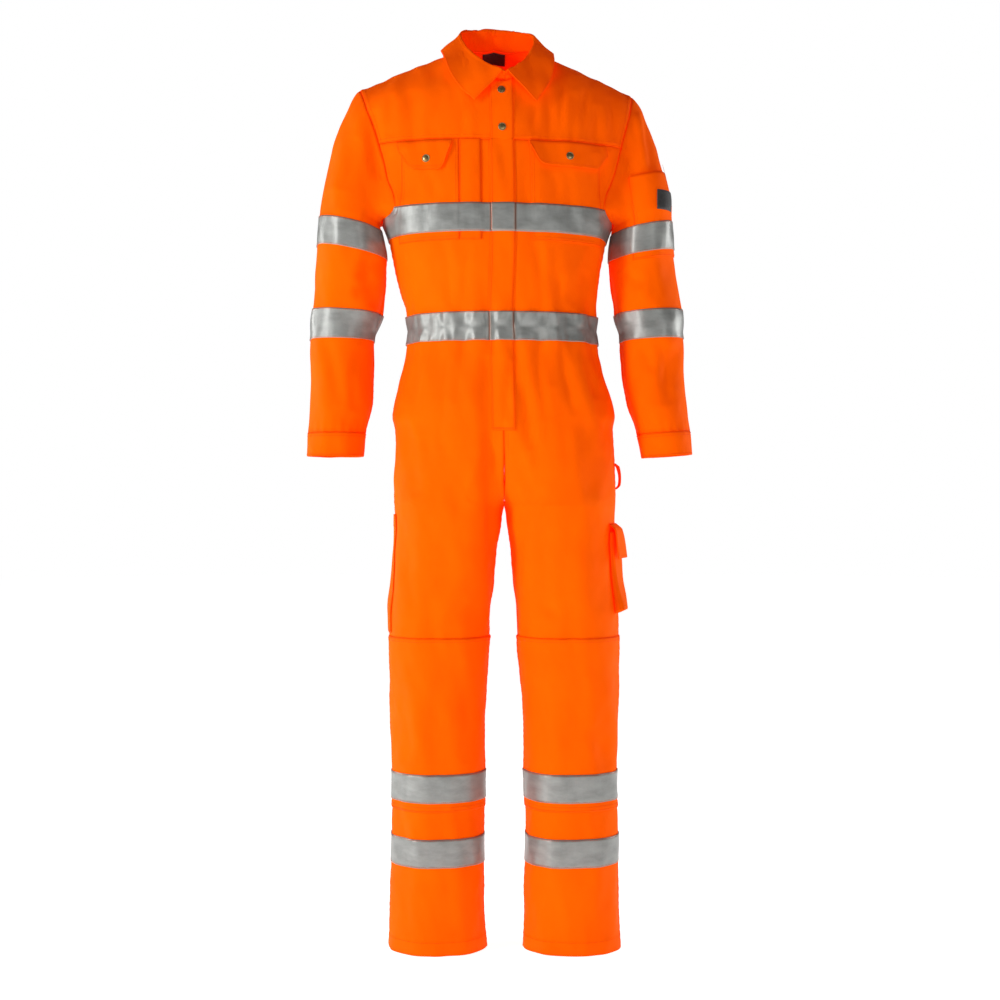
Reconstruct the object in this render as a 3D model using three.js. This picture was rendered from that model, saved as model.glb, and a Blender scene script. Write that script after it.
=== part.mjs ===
import * as THREE from "three";

// A hi-vis boiler suit in its worn shape: hollow, zipped and studded up, arms hanging, with no wearer.
// Millimetres, +Z up. The front faces -Y and +X is the wearer's left.
// Every height in the tables, h, is measured up from the trouser hem. The origin is on the shoulder
// line, where the wearer carries the garment, so the last step lowers all points by SHOULDER_HEIGHT.

// Heights of the seams and edges
const SHOULDER_HEIGHT = 1550;
const FRONT_NECK_HEIGHT = 1519;
const YOKE_HEIGHT = 1410;
const UNDERARM_HEIGHT = 1283;
const WAIST_HEIGHT = 1091;
const FLY_END_HEIGHT = 912;
const CROTCH_HEIGHT = 780;
const KNEE_SEAM_HEIGHT = 554;
const KNEE_POCKET_END_HEIGHT = 250;
const POCKET_END_HEIGHT = 1236;

// Cloth and trim
const CLOTH = 1.2;
const TAPE_CLOTH = 0.8;
const FLAP_CLOTH = 1.6;
const COLLAR_CLOTH = 2;
const GAP = 0.3;
const HALF_GAP = GAP / 2;
const PLACKET_HALF_WIDTH = 20;

// How far each layer's inner face lies from the panels' inner faces
const ON_PANEL = CLOTH + GAP;
const ON_POCKET = ON_PANEL + CLOTH + GAP;
const ON_PLACKET = ON_PANEL + FLAP_CLOTH + GAP;

const ROUNDNESS = 2.25;

// Half of the trousers. Below the crotch this is the whole oval of one leg, about its own centre.
// Above it the oval is cut off by the middle plane, so the two halves meet there.
const TROUSER_SECTIONS = [
  { h: 0, centre: 119, half: 85, front: 73, back: 74, middle: 6 },
  { h: 63, centre: 119.5, half: 82.5, front: 72, back: 75, middle: 6 },
  { h: 170, centre: 119, half: 81, front: 72, back: 76, middle: 6 },
  { h: 277, centre: 118, half: 80, front: 72, back: 80, middle: 5 },
  { h: 437, centre: 118.5, half: 82, front: 76, back: 86, middle: 2 },
  { h: 490, centre: 116.5, half: 84.5, front: 79, back: 88, middle: 0 },
  { h: 544, centre: 114.5, half: 87.5, front: 82, back: 90, middle: 0 },
  { h: 597, centre: 113.5, half: 88.5, front: 85, back: 93, middle: 0 },
  { h: 650, centre: 108, half: 89.5, front: 91, back: 100, middle: 2 },
  { h: 704, centre: 104, half: 90, front: 99, back: 110, middle: 4 },
  { h: 750, centre: 99.5, half: 94, front: 106, back: 119, middle: 6 },
  { h: 780, centre: 98.6, half: 96.8, front: 110, back: 124, middle: 7 },
  { h: 815, centre: 84, half: 112, front: 113, back: 130, middle: 7 },
  { h: 864, centre: 64, half: 129, front: 116, back: 136, middle: 5 },
  { h: 917, centre: 42, half: 150, front: 118, back: 138, middle: 3 },
  { h: 944, centre: 30, half: 166, front: 118, back: 136, middle: 2 },
  { h: 971, centre: 20, half: 170, front: 117, back: 132, middle: 0 },
  { h: 998, centre: 11, half: 171, front: 116, back: 126, middle: 0 },
  { h: 1024, centre: 5, half: 169.5, front: 115, back: 118, middle: 0 },
  { h: 1051, centre: 1, half: 167, front: 114, back: 110, middle: 0 },
  { h: 1091, centre: 0, half: 164, front: 112, back: 104, middle: 0 },
];

// The bodice, from the waist seam to the yoke. Above the underarm the oval is only followed as far as
// the armhole, so its half width there is larger than the cloth.
const BODICE_SECTIONS = [
  { h: 1091, half: 164, front: 112, back: 104 },
  { h: 1125, half: 166, front: 115, back: 106 },
  { h: 1158, half: 174, front: 119, back: 110 },
  { h: 1211, half: 184, front: 124, back: 115 },
  { h: 1250, half: 191, front: 126, back: 118 },
  { h: 1283, half: 203, front: 125, back: 120 },
  { h: 1340, half: 216, front: 121, back: 122 },
  { h: 1410, half: 238, front: 110, back: 117 },
];

// The armhole's distance from the middle, up to the yoke
const ARMHOLE = [
  { h: 1283, x: 203 },
  { h: 1286, x: 194 },
  { h: 1292, x: 185 },
  { h: 1304, x: 180 },
  { h: 1325, x: 185 },
  { h: 1345, x: 193 },
  { h: 1380, x: 204 },
  { h: 1410, x: 213 },
];
const SHOULDER_TIP_X = 242;

// Heights at which the armhole's stitches are counted off below the yoke, and the share of the whole
// armhole, from the underarm to the shoulder tip, that they take up
const ARMHOLE_HEIGHTS = [1283, 1288, 1299, 1322, 1352, 1382, 1410];
const ARMHOLE_YOKE_STEPS = 5;
const ARMHOLE_STEPS = ARMHOLE_HEIGHTS.length - 1 + ARMHOLE_YOKE_STEPS;
const ARMHOLE_ROWS = ARMHOLE_HEIGHTS.map((h, k) => ({ h, share: k / ARMHOLE_STEPS }));
const YOKE_SHARE = (ARMHOLE_HEIGHTS.length - 1) / ARMHOLE_STEPS;

// The shoulder seam's height, from the middle out to the sleeve
const SHOULDER_LINE = [
  { x: 0, h: 1622 },
  { x: 80, h: 1592 },
  { x: 91, h: 1583 },
  { x: 142, h: 1559 },
  { x: 190, h: 1537 },
  { x: 242, h: 1516 },
];
const SHOULDER_MIDDLE_Y = 7;
const NECK_SIDE_X = 80;
const BACK_NECK_RISE = 34;
const BACK_NECK_ANGLE = THREE.MathUtils.degToRad(55);
const NECKLINE_CURVE = 2.2;

// Sleeve sections, each an oval whose plane tilts so that its outer side is higher
const LEFT_SLEEVE_SECTIONS = [
  { h: 1290, centre: 259, half: 50, depth: 75.9, middle: 6, tilt: 12 },
  { h: 1238, centre: 258.5, half: 54.8, depth: 74.9, middle: 8, tilt: 10 },
  { h: 1185, centre: 259.5, half: 55.8, depth: 71.9, middle: 9, tilt: 7 },
  { h: 1131, centre: 263.5, half: 55.9, depth: 69.3, middle: 8, tilt: 4 },
  { h: 1078, centre: 267, half: 52.4, depth: 65.8, middle: 6, tilt: 3 },
  { h: 1024, centre: 267.5, half: 52.4, depth: 62.7, middle: 2, tilt: 3 },
  { h: 971, centre: 273, half: 50.4, depth: 59.7, middle: -3, tilt: 3 },
  { h: 917, centre: 282, half: 44.6, depth: 52.6, middle: -10, tilt: 4 },
  { h: 870, centre: 287, half: 41.1, depth: 46, middle: -15, tilt: 4 },
];
const RIGHT_SLEEVE_SECTIONS = [
  { h: 1290, centre: 261, half: 51.5, depth: 75, middle: 6, tilt: 13 },
  { h: 1238, centre: 259, half: 59, depth: 74, middle: 8, tilt: 12 },
  { h: 1185, centre: 263.5, half: 60, depth: 71, middle: 9, tilt: 8 },
  { h: 1131, centre: 274, half: 59, depth: 68, middle: 8, tilt: 3 },
  { h: 1078, centre: 284.5, half: 54.5, depth: 65, middle: 6, tilt: 1 },
  { h: 1024, centre: 286, half: 54.5, depth: 62, middle: 2, tilt: 0 },
  { h: 971, centre: 287.5, half: 54, depth: 59, middle: -3, tilt: 0 },
  { h: 917, centre: 295, half: 49, depth: 53, middle: -10, tilt: 0 },
  { h: 870, centre: 299, half: 47, depth: 46, middle: -15, tilt: 0 },
];
const SLEEVE_HEAD_END_HEIGHT = 1290;
const CUFF_TOP_HEIGHT = 912;
const CUFF_END_HEIGHT = 870;

// The collar by its place along the neckline: seam is 0 at the middle of the back, 1 at the shoulder seam
// and 2 in front. The roll line is where the collar turns over. The free edge lies lift above the yokes,
// at a turn from the front (0) over the shoulder (90) to the back (180).
const COLLAR_SECTIONS = [
  { seam: 0, rollX: 0, rollY: 66, rollH: 1646, edgeX: 0, edgeTurn: 131, lift: 9 },
  { seam: 0.5, rollX: 40, rollY: 58, rollH: 1643, edgeX: 60, edgeTurn: 122, lift: 9 },
  { seam: 0.86, rollX: 62, rollY: 27, rollH: 1631, edgeX: 89, edgeTurn: 103, lift: 9 },
  { seam: 1.1, rollX: 66, rollY: -8, rollH: 1612, edgeX: 95, edgeTurn: 78, lift: 9 },
  { seam: 1.3, rollX: 57, rollY: -45, rollH: 1581, edgeX: 91, edgeTurn: 53, lift: 9 },
  { seam: 1.55, rollX: 36, rollY: -77, rollH: 1552, edgeX: 80, edgeTurn: 34, lift: 8 },
  { seam: 2, rollX: 4, rollY: -104, rollH: 1527, edgeX: 53, edgeTurn: 19.5, lift: 7 },
];
const COLLAR_ROLL_WIDTH = 7;
const COLLAR_ROLL_RISE = 3.5;
const COLLAR_SHIFT = 7;

// How the empty suit stands: the upper part leans and turns a little to one side
const STANCE = [
  { h: 0, sway: 6, turn: 0 },
  { h: 437, sway: 5, turn: 0 },
  { h: 544, sway: 3, turn: 0 },
  { h: 700, sway: 4.5, turn: 0 },
  { h: 860, sway: 5, turn: 0 },
  { h: 971, sway: 2.6, turn: 0 },
  { h: 1091, sway: 0, turn: 0 },
  { h: 1250, sway: -7, turn: 4.5 },
  { h: 1420, sway: -8, turn: 4.5 },
  { h: 1660, sway: -9, turn: 4.5 },
];

// The largest folds, each a soft trough (depth below 0) or ridge along a line on the front or the back
const FOLDS = [
  { face: "front", x1: -27, h1: 1040, x2: -17, h2: 620, width: 15, depth: -11 },
  { face: "front", x1: -46, h1: 1040, x2: -48, h2: 640, width: 20, depth: 4 },
  { face: "front", x1: 24, h1: 1060, x2: 46, h2: 880, width: 12, depth: -7 },
  { face: "front", x1: 14, h1: 1030, x2: 6, h2: 930, width: 11, depth: -5 },
  { face: "front", x1: 112, h1: 1075, x2: 168, h2: 870, width: 15, depth: 6 },
  { face: "front", x1: -120, h1: 1080, x2: -150, h2: 900, width: 16, depth: 5 },
  { face: "front", x1: -60, h1: 1085, x2: -84, h2: 960, width: 13, depth: -4 },
  { face: "front", x1: 74, h1: 1085, x2: 88, h2: 990, width: 13, depth: -4 },
  { face: "front", x1: 90, h1: 1506, x2: 84, h2: 1412, width: 12, depth: -5 },
  { face: "front", x1: 132, h1: 1500, x2: 124, h2: 1408, width: 12, depth: -5 },
  { face: "front", x1: 168, h1: 1480, x2: 166, h2: 1395, width: 12, depth: -5 },
  { face: "front", x1: -150, h1: 1500, x2: -160, h2: 1400, width: 14, depth: -4 },
  { face: "front", x1: -170, h1: 1320, x2: -120, h2: 1130, width: 20, depth: 5 },
  { face: "front", x1: 176, h1: 1225, x2: 120, h2: 1130, width: 18, depth: -5 },
  { face: "front", x1: -150, h1: 540, x2: -140, h2: 130, width: 22, depth: 4 },
  { face: "front", x1: 82, h1: 520, x2: 86, h2: 120, width: 22, depth: 3 },
  { face: "back", x1: -70, h1: 1085, x2: -84, h2: 940, width: 15, depth: -6 },
  { face: "back", x1: 70, h1: 1085, x2: 84, h2: 940, width: 15, depth: -6 },
  { face: "back", x1: -128, h1: 1080, x2: -146, h2: 930, width: 15, depth: -5 },
  { face: "back", x1: 128, h1: 1080, x2: 146, h2: 930, width: 15, depth: -5 },
  { face: "back", x1: -40, h1: 1270, x2: -96, h2: 1105, width: 18, depth: -6 },
  { face: "back", x1: 40, h1: 1270, x2: 96, h2: 1105, width: 18, depth: -6 },
  { face: "back", x1: -60, h1: 860, x2: -110, h2: 700, width: 20, depth: -6 },
  { face: "back", x1: 60, h1: 860, x2: 110, h2: 700, width: 20, depth: -6 },
  { face: "back", x1: -150, h1: 620, x2: -80, h2: 540, width: 18, depth: -5 },
  { face: "back", x1: 150, h1: 620, x2: 80, h2: 540, width: 18, depth: -5 },
  { face: "front", x1: 243, h1: 1478, x2: 258, h2: 1372, width: 9, depth: 6 },
  { face: "front", x1: 258, h1: 1478, x2: 268, h2: 1372, width: 8, depth: -5 },
  { face: "front", x1: -222, h1: 1470, x2: -206, h2: 1350, width: 15, depth: -6 },
  { face: "front", x1: -232, h1: 1215, x2: -226, h2: 1130, width: 13, depth: -6 },
  { face: "front", x1: 298, h1: 1060, x2: 268, h2: 960, width: 15, depth: -5 },
  { face: "back", x1: -310, h1: 1120, x2: -262, h2: 1030, width: 16, depth: -6 },
  { face: "back", x1: 300, h1: 1120, x2: 250, h2: 1030, width: 16, depth: -6 },
];

// Gathers held by the waist seam: short even ripples that fade out above and below it
const GATHER = { count: 17, height: 3, above: 60, below: 95 };

const clamp01 = (value) => Math.min(1, Math.max(0, value));
const mix = (from, to, share) => from + (to - from) * share;
const ease = (share) => clamp01(share) ** 2 * (3 - 2 * clamp01(share));
const radians = THREE.MathUtils.degToRad;
const point = (x, y, h) => new THREE.Vector3(x, y, h);
const steps = (count, from = 0, to = 1) => Array.from({ length: count + 1 }, (_, k) => mix(from, to, k / count));

// A power that keeps the sign, and the oval that it gives: a circle for a roundness of 2, squarer above
const signedPower = (value, power) => Math.sign(value) * Math.abs(value) ** power;
const ovalCos = (angle) => signedPower(Math.cos(angle), 2 / ROUNDNESS);
const ovalSin = (angle) => signedPower(Math.sin(angle), 2 / ROUNDNESS);
const angleOfSin = (share) => Math.asin(clamp01(share) ** (ROUNDNESS / 2));

// One column of a table at any place along it: a smooth curve that never overshoots its rows
function valueAt(rows, column, at, along = "h") {
  const last = rows.length - 1;
  const rise = (k) => (rows[k + 1][column] - rows[k][column]) / (rows[k + 1][along] - rows[k][along]);
  const slope = (k) => {
    if (k === 0) return rise(0);
    if (k === last) return rise(last - 1);
    const before = rise(k - 1);
    const after = rise(k);
    return before * after <= 0 ? 0 : (2 * before * after) / (before + after);
  };
  const direction = Math.sign(rows[last][along] - rows[0][along]);
  let k = 0;
  while (k < last - 1 && direction * at > direction * rows[k + 1][along]) k += 1;
  const span = rows[k + 1][along] - rows[k][along];
  const t = (at - rows[k][along]) / span;
  if (t < 0) return rows[k][column] + slope(k) * t * span;
  if (t > 1) return rows[k + 1][column] + slope(k + 1) * (t - 1) * span;
  const t2 = t * t;
  const t3 = t2 * t;
  return (2 * t3 - 3 * t2 + 1) * rows[k][column] + (t3 - 2 * t2 + t) * span * slope(k)
    + (3 * t2 - 2 * t3) * rows[k + 1][column] + (t3 - t2) * span * slope(k + 1);
}

// How far a fold or a gather lifts the cloth at a place on one face

function foldLift(face, x, h) {
  let lift = 0;
  for (const fold of FOLDS) {
    if (fold.face !== face) continue;
    const runX = fold.x2 - fold.x1;
    const runH = fold.h2 - fold.h1;
    const along = clamp01(((x - fold.x1) * runX + (h - fold.h1) * runH) / (runX ** 2 + runH ** 2));
    const away = Math.hypot(x - fold.x1 - along * runX, h - fold.h1 - along * runH);
    lift += fold.depth * Math.exp(-((away / fold.width) ** 2)) * Math.sqrt(Math.sin(Math.PI * along));
  }
  return lift;
}

function gatherLift(p) {
  const reach = p.z > WAIST_HEIGHT ? GATHER.above : GATHER.below;
  const share = clamp01(Math.abs(p.z - WAIST_HEIGHT) / reach);
  const strength = Math.sin(Math.PI * share) * (1 - share);
  const around = Math.atan2(p.x, Math.abs(p.y));
  return GATHER.height * strength * Math.cos(around * GATHER.count);
}

// A place is a spot { surface, u, v } on a smooth surface, on which u runs to the right and v up as seen
// from outside. in a mirror it is the spot opposite, on the wearer's right. shift moves it in its layer.
const placesOn = (surface, across, upward) => upward.map((v) => across.map((u) => ({ surface, u, v })));
const inMirror = (places) => places.map((row) => row.map((place) => ({ ...place, mirror: true })).reverse());
const joined = (first, second) => first.map((row, k) => [...row, ...second[k]]);

function outwardAt(surface, u, v) {
  const tiny = 1e-3;
  const across = surface(u + tiny, v).sub(surface(u - tiny, v));
  const upward = surface(u, v + tiny).sub(surface(u, v - tiny));
  return across.cross(upward).normalize();
}

// A point of the worn cloth, lifted off the smooth surface by its folds and by its layer.
// A point on the seam in the middle keeps to its own side of the middle plane.
function clothPoint({ surface, u, v, mirror, middle, shift, flat }, out) {
  const p = surface(u, v);
  const normal = outwardAt(surface, u, v);
  if (shift) p.add(shift);
  if (middle) {
    p.x = 0;
    normal.setX(0).normalize();
  }
  if (mirror) {
    p.x *= -1;
    normal.x *= -1;
  }
  const face = normal.y < 0 ? "front" : "back";
  const facing = ease(Math.abs(normal.y) * 1.6);
  const lift = flat ? 0 : foldLift(face, p.x, p.z) * facing + gatherLift(p);
  const lifted = p.clone().addScaledVector(normal, lift + out);
  const side = Math.sign(p.x);
  if (Math.abs(p.x) <= HALF_GAP) lifted.x = p.x;
  else lifted.x = side * Math.max(side * lifted.x, HALF_GAP);
  return lifted;
}

function stand(p) {
  const turn = radians(valueAt(STANCE, "turn", p.z));
  const sway = valueAt(STANCE, "sway", p.z);
  return point(
    p.x * Math.cos(turn) - p.y * Math.sin(turn) + sway,
    p.x * Math.sin(turn) + p.y * Math.cos(turn),
    p.z - SHOULDER_HEIGHT,
  );
}

// A cloth wall over a grid of places. out is how far its inner face lies from the surface: a number, or
// a function of the place.
function clothWall(places, { out = 0, thick = CLOTH } = {}) {
  const outAt = (place) => (typeof out === "function" ? out(place) : out);
  const positions = [];
  for (const depth of [thick, 0])
    for (const row of places)
      for (const place of row)
        positions.push(...stand(clothPoint(place, outAt(place) + depth)).toArray());
  return wallGeometry(positions, places[0].length, places.length);
}

// Joins an outer and an inner grid of points into one closed wall
function wallGeometry(positions, columns, rows) {
  const at = (layer, row, column) => layer * rows * columns + row * columns + column;
  const faces = [];
  const length = (a, b) => Math.hypot(...[0, 1, 2].map((axis) => positions[3 * a + axis] - positions[3 * b + axis]));
  // Each four-sided face is split along its shorter diagonal
  const quad = (a, b, c, d) => (length(a, c) <= length(b, d)
    ? faces.push(a, b, c, a, c, d)
    : faces.push(b, c, d, b, d, a));
  for (let row = 0; row < rows - 1; row += 1)
    for (let column = 0; column < columns - 1; column += 1) {
      quad(at(0, row, column), at(0, row, column + 1), at(0, row + 1, column + 1), at(0, row + 1, column));
      quad(at(1, row + 1, column + 1), at(1, row, column + 1), at(1, row, column), at(1, row + 1, column));
    }
  for (let row = 0; row < rows - 1; row += 1) {
    const end = columns - 1;
    quad(at(0, row, 0), at(0, row + 1, 0), at(1, row + 1, 0), at(1, row, 0));
    quad(at(0, row, end), at(1, row, end), at(1, row + 1, end), at(0, row + 1, end));
  }
  for (let column = 0; column < columns - 1; column += 1) {
    const top = rows - 1;
    quad(at(0, 0, column), at(1, 0, column), at(1, 0, column + 1), at(0, 0, column + 1));
    quad(at(0, top, column), at(0, top, column + 1), at(1, top, column + 1), at(1, top, column));
  }
  const geometry = new THREE.BufferGeometry();
  geometry.setAttribute("position", new THREE.Float32BufferAttribute(positions, 3));
  geometry.setIndex(faces);
  return geometry;
}

// Trousers. The columns of a front panel run from the middle or the inseam (0) to the side seam (1),
// and those of a back panel from the side seam (0) to the inseam or the middle (1).

const FRONT_DEPTH = 110;
const BACK_DEPTH = 120;
const seamAngle = (depth) => angleOfSin(HALF_GAP / depth);

function trouserRing(h, angle) {
  const read = (column) => valueAt(TROUSER_SECTIONS, column, h);
  const depth = angle >= 0 ? read("front") : read("back");
  return point(
    read("centre") + read("half") * ovalCos(angle),
    read("middle") - depth * ovalSin(angle),
    h,
  );
}

// The angle at which the ring comes to a distance from the middle plane, or to its own inner side
function angleAtX(h, x, depth) {
  const reach = (valueAt(TROUSER_SECTIONS, "centre", h) - x) / valueAt(TROUSER_SECTIONS, "half", h);
  const inner = Math.PI - seamAngle(depth);
  if (reach >= 1) return inner;
  return Math.min(Math.acos(-signedPower(reach, ROUNDNESS / 2)), inner);
}

// Above the fly's end the second column runs straight up beside the placket
const FLY_COLUMN = 0.1;
function trouserFront(u, h) {
  const middle = angleAtX(h, HALF_GAP, FRONT_DEPTH);
  const side = seamAngle(FRONT_DEPTH);
  const above = ease((h - CROTCH_HEIGHT - 40) / (FLY_END_HEIGHT - CROTCH_HEIGHT - 40));
  const beside = mix(mix(middle, side, FLY_COLUMN), angleAtX(h, PLACKET_HALF_WIDTH, FRONT_DEPTH), above);
  if (u <= FLY_COLUMN) return trouserRing(h, mix(middle, beside, u / FLY_COLUMN));
  return trouserRing(h, mix(beside, side, (u - FLY_COLUMN) / (1 - FLY_COLUMN)));
}

const trouserBack = (u, h) => trouserRing(h, -mix(seamAngle(BACK_DEPTH), angleAtX(h, HALF_GAP, BACK_DEPTH), u));

// The outer side of a leg. u is the angle from the side seam, in front of it below 0.
const trouserSide = (u, h) => trouserRing(h, -u);

// Bodice. u is the distance from the middle at the pockets' height, and BODICE_EDGE at the side.

const POCKET_EDGE = 172;
const BODICE_EDGE = 200;

function bodiceRing(face, h, angle) {
  const depth = valueAt(BODICE_SECTIONS, face, h) * (face === "front" ? -1 : 1);
  return point(valueAt(BODICE_SECTIONS, "half", h) * ovalSin(angle), depth * ovalCos(angle), h);
}

const SIDE_SEAM_ANGLE = Math.PI / 2 - angleOfSin(HALF_GAP / BACK_DEPTH);

function bodiceEndAngle(h) {
  if (h <= UNDERARM_HEIGHT) return SIDE_SEAM_ANGLE;
  const share = valueAt(ARMHOLE, "x", h) / valueAt(BODICE_SECTIONS, "half", h);
  return Math.min(angleOfSin(share), SIDE_SEAM_ANGLE);
}

function bodiceFront(u, h) {
  const half = valueAt(BODICE_SECTIONS, "half", h);
  const narrowing = Math.min(1, half / valueAt(BODICE_SECTIONS, "half", POCKET_END_HEIGHT));
  const inner = 48;
  const x = u <= inner ? u : inner + (Math.min(u, POCKET_EDGE) - inner) * narrowing;
  const angle = Math.sign(x) * angleOfSin(Math.abs(x) / half);
  if (u <= POCKET_EDGE) return bodiceRing("front", h, angle);
  return bodiceRing("front", h, mix(angle, bodiceEndAngle(h), (u - POCKET_EDGE) / (BODICE_EDGE - POCKET_EDGE)));
}

// u runs from the wearer's left side (-1) to the right (1)
const bodiceBack = (u, h) => bodiceRing("back", h, -u * bodiceEndAngle(h));

// Yokes: arches from the yoke seam in front, over the shoulder line, to the one behind.
// share is the place between the middle (0) and the armhole (1).

function ridgeHeight(face, x) {
  const away = Math.abs(x);
  const rise = face === "back" ? BACK_NECK_RISE * (1 - clamp01(away / NECK_SIDE_X) ** 2) : 0;
  return valueAt(SHOULDER_LINE, "h", away, "x") + rise;
}

const yokeArmholeX = (angle) => mix(valueAt(ARMHOLE, "x", YOKE_HEIGHT), SHOULDER_TIP_X, Math.sin(angle));

function yokeArch(face, share, angle) {
  const side = face === "front" ? -1 : 1;
  const x = share * yokeArmholeX(angle);
  const half = valueAt(BODICE_SECTIONS, "half", YOKE_HEIGHT) / yokeArmholeX(0);
  const reach = (1 - (Math.abs(share) / half) ** ROUNDNESS) ** (1 / ROUNDNESS);
  const baseY = side * valueAt(BODICE_SECTIONS, face, YOKE_HEIGHT) * reach;
  const drop = signedPower(Math.cos(angle), face === "front" ? 1.15 : 1);
  return point(
    x,
    mix(SHOULDER_MIDDLE_Y, baseY, drop),
    mix(YOKE_HEIGHT, ridgeHeight(face, x), Math.sin(angle)),
  );
}

const FRONT_NECK_ANGLE = Math.asin((FRONT_NECK_HEIGHT - YOKE_HEIGHT) / (ridgeHeight("front", 0) - YOKE_HEIGHT));
const NECK_SHARE = NECK_SIDE_X / SHOULDER_TIP_X;
const YOKE_START = HALF_GAP / 200;
const YOKE_END = Math.PI / 2 - HALF_GAP / 110;

// The angle at which a yoke ends: on the neckline inside the neck's width, else at the shoulder seam
function yokeEndAngle(face, share) {
  const across = Math.abs(share) / NECK_SHARE;
  if (across >= 1) return YOKE_END;
  if (face === "front") return mix(FRONT_NECK_ANGLE, YOKE_END, across ** NECKLINE_CURVE);
  return mix(YOKE_END, BACK_NECK_ANGLE, (1 - across ** 2) ** 0.6);
}

const yokeSurface = (face, share, v) => yokeArch(face, share, mix(YOKE_START, yokeEndAngle(face, share), v));
const yokeFront = (u, v) => yokeSurface("front", u, v);
const yokeBack = (u, v) => yokeSurface("back", -u, v);

// The armhole, from the underarm (share 0) to the shoulder tip (share 1)

const armholeHeight = (share) => valueAt(ARMHOLE_ROWS, "h", share, "share");

function armholePoint(face, share) {
  if (share > YOKE_SHARE) {
    const angle = mix(YOKE_START, YOKE_END, (share - YOKE_SHARE) / (1 - YOKE_SHARE));
    return yokeArch(face, 1, angle);
  }
  const h = armholeHeight(share);
  return bodiceRing(face, h, bodiceEndAngle(h));
}

// The place on the bodice or the yoke at the armhole's edge, with the directions out of the cloth there
// and past its edge
function armholeEdge(face, share) {
  const front = face === "front";
  const side = front ? 1 : -1;
  const inYoke = { surface: front ? yokeFront : yokeBack, u: side, v: (share - YOKE_SHARE) / (1 - YOKE_SHARE) };
  const inBodice = { surface: front ? bodiceFront : bodiceBack, u: front ? BODICE_EDGE : -1, v: armholeHeight(share) };
  const place = share > YOKE_SHARE + 1e-6 ? inYoke : inBodice;
  const along = armholePoint(face, Math.min(share + 0.02, 1)).sub(armholePoint(face, Math.max(share - 0.02, 0)));
  const outward = outwardAt(place.surface, place.u, place.v);
  const past = along.cross(outward).normalize().multiplyScalar(side);
  return { place, outward, past };
}

// The sleeve starts just past that edge, in the same layer
function armholePlace(face, share) {
  const { place, past } = armholeEdge(face, share);
  return { ...place, shift: past.multiplyScalar(2 * GAP) };
}

// Sleeves. u runs from the underarm seam round the back, the outside and the front, and v runs down:
// from the armhole (0) to the end of the sleeve head (1) and the end of the cuff (2).

function sleeveRing(sections, h, turn) {
  const read = (column) => valueAt(sections, column, h);
  const fromCentre = -read("half") * ovalCos(turn);
  return point(
    read("centre") + fromCentre,
    read("middle") - read("depth") * ovalSin(turn),
    h + fromCentre * Math.tan(radians(read("tilt"))),
  );
}

// The head: each of its lines leaves the armhole sideways and turns down into the arm
function sleeveHead(sections, share, face, turn, v) {
  const start = armholePoint(face, share);
  const end = sleeveRing(sections, SLEEVE_HEAD_END_HEIGHT, turn);
  const below = sleeveRing(sections, SLEEVE_HEAD_END_HEIGHT - 10, turn);
  const { outward, past } = armholeEdge(face, share);
  const upper = ease(share * 2.2);
  const leave = past.multiplyScalar(mix(20, 22, upper)).addScaledVector(outward, mix(14, 3, upper))
    .addScaledVector(point(0.77, 0, -0.64), 70 * share ** 1.5);
  const arrive = below.sub(end).normalize().multiplyScalar(mix(12, 260, share ** 2));
  const v2 = v * v;
  const v3 = v2 * v;
  return start.multiplyScalar(2 * v3 - 3 * v2 + 1)
    .addScaledVector(leave, v3 - 2 * v2 + v)
    .addScaledVector(end, 3 * v2 - 2 * v3)
    .addScaledVector(arrive, v3 - v2);
}

const sleeveSurface = (sections) => (u, v) => {
  const front = u > 0.5;
  const seam = u >= 0 && u <= 1 ? angleOfSin(HALF_GAP / 70) / Math.PI : -1;
  const share = Math.max(front ? 2 * (1 - u) : 2 * u, seam);
  const turn = Math.PI * share * (front ? 1 : -1);
  if (v > 1) return sleeveRing(sections, mix(SLEEVE_HEAD_END_HEIGHT, CUFF_END_HEIGHT, v - 1), turn);
  return sleeveHead(sections, clamp01(share), front ? "front" : "back", turn, v);
};
const sleeveV = (h) => 1 + (SLEEVE_HEAD_END_HEIGHT - h) / (SLEEVE_HEAD_END_HEIGHT - CUFF_END_HEIGHT);
const leftSleeve = sleeveSurface(LEFT_SLEEVE_SECTIONS);
const rightSleeve = sleeveSurface(RIGHT_SLEEVE_SECTIONS);

// Collar: it stands up from the neckline, turns over at the roll line and lies on the shoulders.
// u is the place along the neckline, from the wearer's left front end (-2) past the middle of the back
// (0) to the right front end (2).

const shoulderArch = (share, turn) => (turn <= Math.PI / 2
  ? yokeArch("front", share, turn)
  : yokeArch("back", share, Math.PI - turn));

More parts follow.
